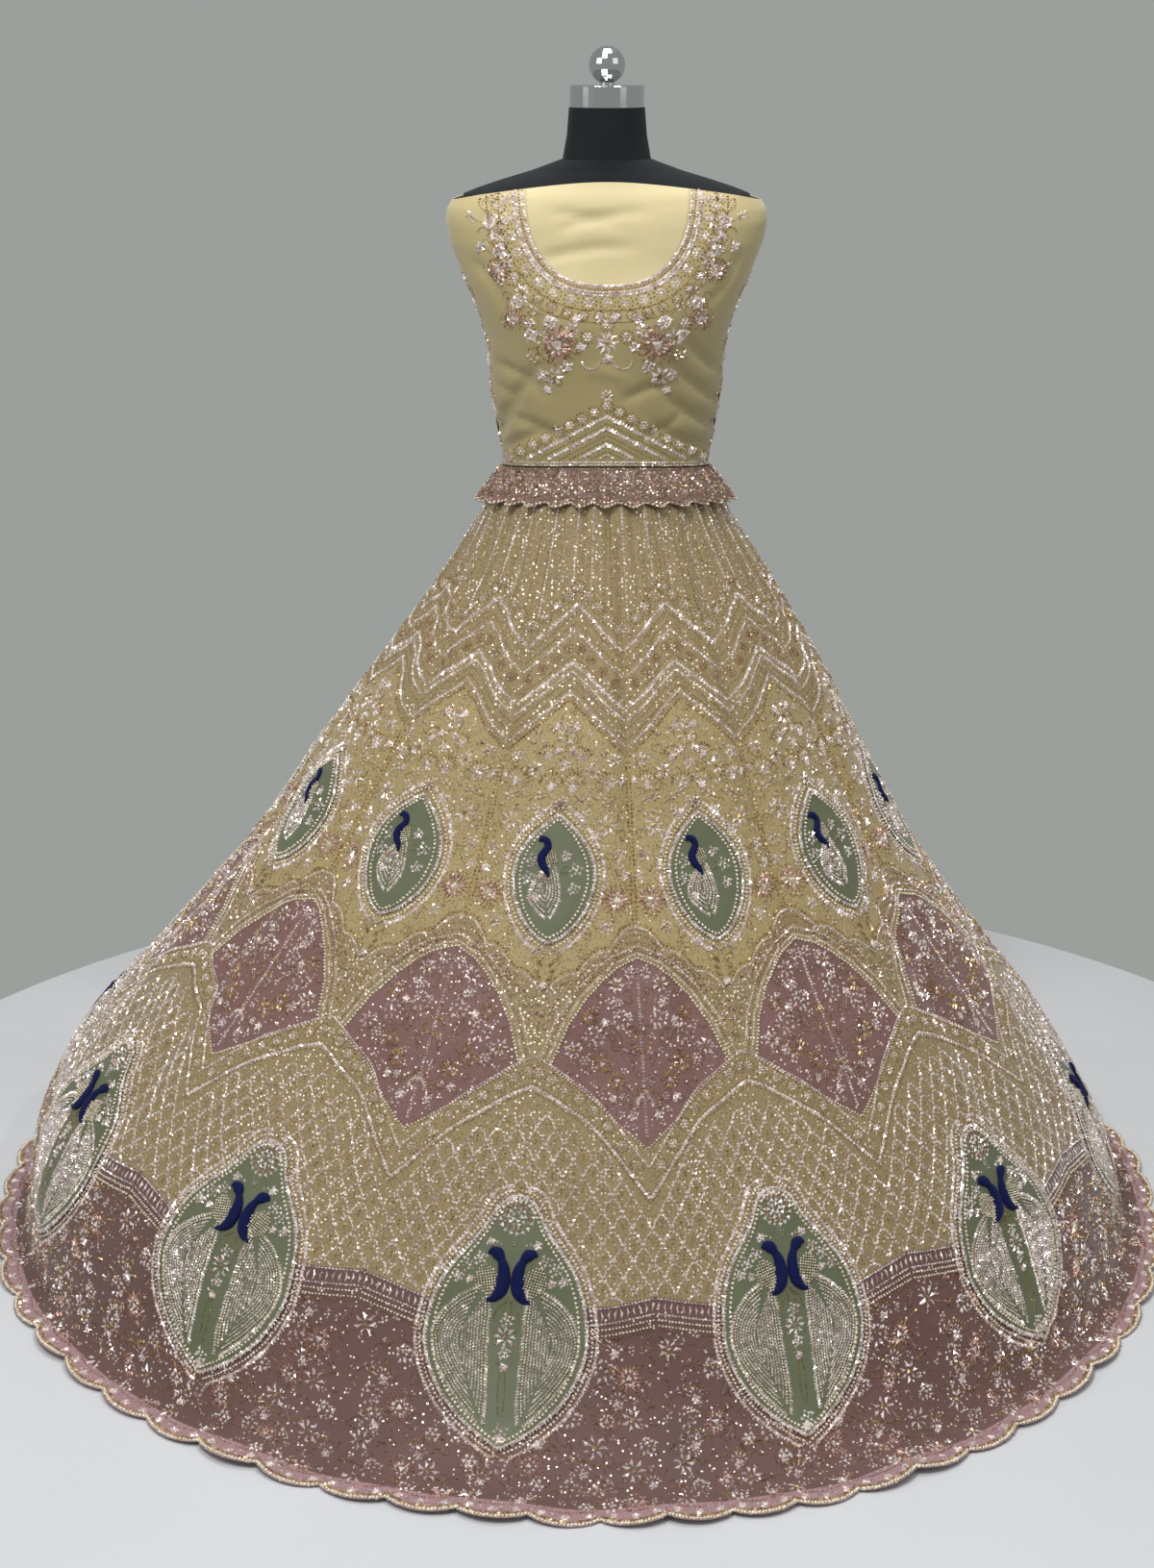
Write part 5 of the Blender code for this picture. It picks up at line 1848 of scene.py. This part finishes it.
# %% Making a choli sheet
def make_choli(name, node, middle, creases, beads):
    """The front or the back of the choli, round a middle angle."""
    def place(u, v):
        angle = middle + (2.0 * u - 1.0) * (math.pi / 2.0 - CHOLI_SIDE_GAP)
        hem = CHOLI_HEM + front_rise(angle)
        height = choli_top(angle) - v * (choli_top(angle) - hem)
        return choli_point(angle, height, creases), np.stack([u, height], axis=1)
    piece, area = cloth_sheet(name, *CHOLI_GRID, place, CHOLI)
    angle = middle + np.linspace(-math.pi / 2.0, math.pi / 2.0, 121)
    widest = max(girth(choli_point(angle, np.full_like(angle, z), creases)) for z in GIRTH_HEIGHTS)
    rise = np.linspace(CHOLI_HEM + float(front_rise(middle)), float(choli_top(middle)), 81)
    tall = girth(choli_point(np.full_like(rise, middle), rise, creases))
    print(name, "flat size", round(widest, 3), round(tall, 3))
    declare(piece, node, (widest, tall), area, beads)


print("heights where the girth is measured:", GIRTH_HEIGHTS)

# %% [markdown]
# The choli's work lies round the scooped neck line and in a wide point at the waist.
# Its plan is the front view: x to the right and height, both in metres. The form's
# oval turns x into an angle, so the beads wrap round with the cloth. Work beside the
# side seams would be stretched by that, so its plan is measured round the form.

# %% Choli embroidery
CHOLI_MOTIFS = (
    # x, height, motif, size; mirrored on the other side
    (0.056, 1.114, "bloom", 0.023), (0.106, 1.142, "bloom", 0.014), (0.123, 1.196, "bloom", 0.013),
    (0.04, 1.131, "daisy", 0.01), (0.022, 1.124, "rosette", 0.008),
    (0.076, 1.122, "daisy", 0.011), (0.06, 1.076, "daisy", 0.012), (0.066, 1.094, "leaf", 0.016),
    (0.046, 1.089, "cluster", 0.007), (0.074, 1.078, "cluster", 0.006), (0.018, 1.096, "half_moon", 0.01),
    (0.052, 1.066, "leaf", 0.014), (0.088, 1.138, "rosette", 0.009), (0.104, 1.15, "leaf", 0.018),
    (0.038, 1.108, "curl", 0.008), (0.082, 1.104, "curl", 0.007), (0.008, 1.146, "cluster", 0.006),
    (0.096, 1.172, "daisy", 0.01), (0.112, 1.166, "curl", 0.008), (0.106, 1.188, "rosette", 0.009),
    (0.124, 1.19, "sprig", 0.02), (0.114, 1.208, "daisy", 0.01), (0.13, 1.216, "leaf", 0.018),
    (0.118, 1.23, "rosette", 0.009), (0.137, 1.238, "curl", 0.008), (0.122, 1.25, "daisy", 0.01),
    (0.134, 1.262, "leaf", 0.016), (0.121, 1.268, "rosette", 0.008), (0.143, 1.222, "cluster", 0.005),
    (0.128, 1.234, "cluster", 0.005), (0.132, 1.25, "heap", 0.007), (0.122, 1.218, "heap", 0.007),
    (0.102, 1.16, "heap", 0.007), (0.09, 1.152, "curl", 0.007), (0.086, 1.124, "heap", 0.007),
    (0.064, 1.14, "heap", 0.008), (0.034, 1.144, "cluster", 0.005), (0.03, 1.112, "cluster", 0.005),
    (0.07, 1.092, "sprig", 0.018), (0.05, 1.1, "curl", 0.007), (0.06, 1.068, "leaf", 0.012),
    (0.108, 1.18, "sprig", 0.018), (0.126, 1.204, "curl", 0.007), (0.14, 1.25, "sprig", 0.014),
    (0.07, 1.148, "sprig", 0.022), (0.046, 1.148, "curl", 0.007), (0.068, 1.06, "cluster", 0.004),
)
CHOLI_BEAD_SIZE = 1.22
SIDE_MOTIFS = ("rosette", "leaf", "heap", "curl")
SIDE_RADIUS = 0.125
HEM_PEAK = 0.066
HEM_HALF_WIDTH = 0.122
HEM_LINES = (
    # drop below the flower point, row
    (0.013, HEM_SEQUINS), (0.02, HEM_GOLD), (0.027, HEM_SEQUINS), (0.034, HEM_ROSE),
    (0.04, HEM_GOLD), (0.046, HEM_SEQUINS), (0.053, HEM_GOLD),
    (0.058, (0.0042, 0.0046, 0.0026, SILVER)),
)
print("motifs on the choli's front:", 2 * len(CHOLI_MOTIFS))

# %% The choli's front
def choli_width(down):
    return np.ones_like(np.asarray(down, dtype=float))


def front_view(creases, facing):
    """The choli's face read by x and by distance below height 0, in front view."""
    def surface(x, down):
        height = -np.asarray(down)
        half_width, half_depth, squareness = form_section(height)
        reach = np.clip(np.abs(x) / (half_width + CHOLI_LIFT), 0.0, 0.9995) ** (squareness / 2.0)
        angle = np.arcsin(reach) * np.sign(x)
        if facing == "back":
            angle = math.pi + angle
        return choli_point(angle, height, creases)
    return surface


def scoop_line(offset):
    """The scooped neck line in front view, moved outwards by an offset."""
    t = np.linspace(0.012, math.pi - 0.012, 81)
    half = SCOOP_HALF_WIDTH + offset
    x = -half * np.sign(np.cos(t)) * np.abs(np.cos(t)) ** (2.0 / SCOOP_POWER)
    height = SCOOP_TOP - (SCOOP_DEPTH + offset) * np.abs(np.sin(t)) ** (2.0 / SCOOP_POWER)
    keep = height < 1.287
    return x[keep], -height[keep]


def sew_scoop(plan):
    for offset, spacing, length, width, kind in (
        (0.001, 0.003, 0.0048, 0.0042, SILVER), (0.0048, 0.0034, 0.003, 0.0028, ROSE),
        (0.0082, 0.003, 0.0048, 0.0034, SILVER), (0.0115, 0.003, 0.0048, 0.0042, SILVER),
    ):
        x, down = scoop_line(offset)
        plan.line(x, down, spacing, length, width, kind)
    for offset, count, size in ((0.02, 19, 0.0086), (0.0345, 24, 0.006)):
        x, down = scoop_line(offset)
        run = np.r_[0.0, np.cumsum(np.hypot(np.diff(x), np.diff(down)))]
        for place in (np.arange(count) + 0.5) * run[-1] / count:
            rosette(plan, (float(np.interp(place, run, x)), float(np.interp(place, run, down))), size)
    for offset in (0.028, 0.0415):
        x, down = scoop_line(offset)
        plan.line(x, down, 0.003, 0.0024, 0.002, GOLD)


def sew_choli_motifs(plan):
    for x, height, motif, size in CHOLI_MOTIFS:
        for side in (-1.0, 1.0):
            sew_motif(plan, (side * x, -height), motif, size, side)
    daisy(plan, (0.0, -1.117), 0.014, 9, SILVER, ROSE)
    rosette(plan, (0.0, -1.138), 0.008)
    cluster(plan, (0.0, -1.098), 0.005)


def hem_line(x, drop):
    """Distance below height 0 of a pointed line over the waist."""
    hem = CHOLI_HEM + WAIST_RISE * (1.0 - 0.6 * (np.asarray(x) / HEM_HALF_WIDTH) ** 2)
    peak = hem + HEM_PEAK * (1.0 - np.abs(x) / HEM_HALF_WIDTH) + 0.006 - drop
    return -np.maximum(peak, hem + 0.006)


def sew_choli_hem(plan):
    x = np.linspace(-HEM_HALF_WIDTH, HEM_HALF_WIDTH, 81)
    hem = hem_line(x, 1.0)
    for drop, row in HEM_LINES:
        line = hem_line(x, drop)
        keep = line < hem - 0.002
        if np.count_nonzero(keep) > 3:
            plan.line(x[keep], line[keep], *row)
    plan.line(x, hem + 0.001, 0.0036, 0.0046, 0.003, SILVER)
    plan.line(x, hem + 0.0042, 0.0036, 0.0046, 0.0026, SILVER)
    for place in np.linspace(-0.112, 0.112, 17):
        rosette(plan, (float(place), float(hem_line(place, 0.0))), 0.0074)
    daisy(plan, (0.0, float(hem_line(0.0, 0.0)) - 0.012), 0.008, 7, SILVER, ROSE)


def plan_choli_front():
    plan = Plan(choli_width)
    sew_scoop(plan)
    sew_choli_motifs(plan)
    sew_choli_hem(plan)
    beads = plan.all()
    top = -choli_top(np.arcsin(np.clip(beads[:, 0] / 0.18, -1.0, 1.0)))
    beads[:, 3:5] *= CHOLI_BEAD_SIZE
    return beads[beads[:, 1] > top + 0.0025]


CHOLI_FRONT_PLAN = plan_choli_front()
print("beads on the choli's front:", len(CHOLI_FRONT_PLAN))

# %% The choli's back and sides
def plan_choli_back():
    plan = Plan(choli_width)
    x = np.linspace(-0.118, 0.118, 61)
    hem = -(CHOLI_HEM + 0.003)
    plan.line(x, np.full_like(x, hem), 0.0036, 0.0046, 0.003, SILVER)
    plan.line(x, np.full_like(x, hem - 0.006), 0.0034, 0.0024, 0.002, GOLD)
    for place in np.linspace(-0.11, 0.11, 15):
        rosette(plan, (float(place), hem - 0.016), 0.0064)
    return plan.all()


def plan_choli_sides():
    """Work beside the side seams. Across is metres round the form from the middle."""
    plan = Plan(choli_width)
    for side in (-1.0, 1.0):
        for i, height in enumerate(np.linspace(0.992, 1.182, 13)):
            place = (side * (0.172 + 0.007 * (-1.0) ** i), -height)
            sew_motif(plan, place, SIDE_MOTIFS[i % len(SIDE_MOTIFS)], 0.009, side)
    return plan.all()


def round_view(creases, middle):
    """The choli's face read by metres round it from its middle, and by distance below height 0."""
    def surface(across, down):
        return choli_point(middle + np.asarray(across) / SIDE_RADIUS, -np.asarray(down), creases)
    return surface


SIDE_PLAN = plan_choli_sides()
CHOLI_SIDES = (
    # name, middle angle, creases, plan of the face, seed of the face, seed of the sides
    ("front", 0.0, CHOLI_CREASES, CHOLI_FRONT_PLAN, 7, 10),
    ("back", math.pi, BACK_CREASES, plan_choli_back(), 8, 11),
)
side_beads = [
    sew(f"choli_{name}_side_beads", SIDE_PLAN, round_view(creases, middle), CHOLI_STEP, BEADS, side_seed)
    for name, middle, creases, plan, seed, side_seed in CHOLI_SIDES
]
face_beads = [
    sew(f"choli_{name}_beads", plan, front_view(creases, name), CHOLI_STEP, BEADS, seed)
    for name, middle, creases, plan, seed, side_seed in CHOLI_SIDES
]
for (name, middle, creases, *rest), *beads in zip(CHOLI_SIDES, face_beads, side_beads):
    make_choli(f"choli_{name}_cloth", f"choli_{name}", middle, creases,
               [ride_along(piece) for piece in beads])
print("choli made")

# %% [markdown]
# The frill hides the waistband. It is a strip about one and a half times as long as
# the waist, drawn up into close gathers that open towards its free edge. Sequins cover
# it, and rows of slanted beads make its corded edge.

# %% Frill
FRILL_TOP = 0.9517
FRILL_HEIGHT = 0.04
FRILL_TOP_RADIUS = 0.1263
FRILL_BOTTOM_RADIUS = 0.154
FRILL_GATHERS = 30
FRILL_MEAN_RADIUS = 0.135
FRILL_SEQUINS = 2600
FRILL_GRID = (FRILL_GATHERS * 9, 8)
FRILL_STEP = 0.0008
SWING_TOP = 0.0012
SWING_GAIN = 0.0048
WAIST_FLATNESS = 0.0228


def frill_point(share, down):
    """The frill's outer face. share goes once round, down is metres from its top."""
    angle = np.asarray(share) * 2.0 * math.pi
    fall = np.clip(np.asarray(down) / FRILL_HEIGHT, -0.05, 1.05)
    sway = 0.35 * np.sin(5.0 * angle + 0.7) + 0.25 * np.sin(11.0 * angle + 1.9)
    wave = np.cos(angle * FRILL_GATHERS + sway)
    small = np.cos(angle * FRILL_GATHERS * 2.0 + 1.1 + 2.0 * sway)
    swing = SWING_TOP + SWING_GAIN * fall
    radius = FRILL_TOP_RADIUS + (FRILL_BOTTOM_RADIUS - FRILL_TOP_RADIUS) * fall
    radius = radius + swing * wave + 0.0007 * small + 0.0016 * np.sin(math.pi * np.clip(fall, 0.0, 1.0))
    height = FRILL_TOP + front_rise(angle) - FRILL_HEIGHT * fall - 0.0014 * fall * wave
    points = (radius * np.sin(angle), -(radius - WAIST_FLATNESS) * np.cos(angle), height)
    return np.stack(np.broadcast_arrays(*points), axis=-1)


def frill_width(down):
    return np.full_like(np.asarray(down, dtype=float), 2.0 * math.pi * FRILL_MEAN_RADIUS)


def plan_frill():
    plan = Plan(frill_width)
    chance = np.random.default_rng(5)
    share = np.linspace(0.0, 1.0, 361)
    for down, kind, spacing, length, width, slope in (
        (0.002, ROSE, 0.0036, 0.003, 0.0026, 0.0), (0.03, ROSE, 0.0036, 0.0046, 0.003, 0.6),
        (0.0355, ROSE, 0.0034, 0.0052, 0.0034, 0.6), (0.039, PEARL, 0.0036, 0.0056, 0.0036, 0.6),
    ):
        plan.line(share, np.full_like(share, down), spacing, length, width, kind, slope)
    kinds = chance.choice([ROSE, GOLD, SILVER], FRILL_SEQUINS, p=[0.38, 0.24, 0.38])
    for kind in (ROSE, GOLD, SILVER):
        pick = kinds == kind
        plan.beads(
            chance.uniform(0.0, 1.0, FRILL_SEQUINS)[pick], chance.uniform(0.004, 0.027, FRILL_SEQUINS)[pick],
            chance.uniform(0.0, math.pi, FRILL_SEQUINS)[pick], 0.0036, 0.003, kind
        )
    return plan.all()


def make_frill():
    def place(u, v):
        return frill_point(u, v * FRILL_HEIGHT), np.stack([u, v * FRILL_HEIGHT], axis=1)
    beads = sew("frill_beads", plan_frill(), frill_point, FRILL_STEP, BEADS, 9)
    piece, area = cloth_sheet("frill_cloth", *FRILL_GRID, place, FRILL, ring=True)
    length = area / FRILL_HEIGHT
    declare(piece, "waist_frill", (length, FRILL_HEIGHT), area,
            [ride_along(beads)])
    print("frill strip length", round(length, 3))


make_frill()

# %% [markdown]
# The form, its neck cap, its ball and the stand keep the frame's own solids, because
# their shapes are already right. They only need better materials: a matt stretch
# cover with a fine knit, bright chrome with faint brushing, and satin black paint.

# %% Form and stand
COVER_BLACK = (0.012, 0.014, 0.017)
COVER_DEEP_BLACK = (0.006, 0.007, 0.009)
PAINT_BLACK = (0.022, 0.022, 0.023)
PAINT_DEEP_BLACK = (0.012, 0.012, 0.013)


def cover_finish():
    finish = Finish("black_cover", {"Roughness": 0.9, "Sheen Weight": 0.04, "Specular IOR Level": 0.2})
    knit = finish.noise(1200.0, 1.0)
    finish.drive("Base Color", finish.blend(finish.noise(30.0), COVER_DEEP_BLACK, COVER_BLACK))
    finish.bump(knit, 0.0004, 0.5)
    return finish


def chrome_finish():
    finish = Finish("bright_chrome", {"Base Color": (0.62, 0.62, 0.64, 1.0), "Metallic": 1.0})
    finish.drive("Roughness", finish.noise(40.0) * 0.1 + 0.06)
    return finish


def paint_finish():
    finish = Finish("satin_black_paint", {"Roughness": 0.45, "Coat Weight": 0.2})
    finish.drive("Base Color", finish.blend(finish.noise(60.0), PAINT_DEEP_BLACK, PAINT_BLACK))
    finish.bump(finish.noise(420.0), 0.0002, 0.4)
    return finish


def repaint(node, finish):
    piece = frame["nodes"][node]
    if not piece.material_slots:
        piece.data.materials.append(finish.material)
    for slot in piece.material_slots:
        slot.material = finish.material


COVER, CHROME, PAINT = cover_finish(), chrome_finish(), paint_finish()
for node, finish in (
    ("form_torso", COVER), ("neck_cap", CHROME), ("cap_ball", CHROME), ("stand_pole", CHROME),
    ("stand_base", PAINT), ("skirt_waistband", CHOLI),
):
    repaint(node, finish)
print("form and stand finished")

# %% [markdown]
# Last, the script counts its triangles.

# %% Finish
triangles = 0
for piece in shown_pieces():
    if piece.type == "MESH" and not piece.hide_render and "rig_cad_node" not in piece:
        mesh = piece.evaluated_get(bpy.context.evaluated_depsgraph_get()).to_mesh()
        triangles += sum(len(face.vertices) - 2 for face in mesh.polygons)
print("triangles added:", triangles)
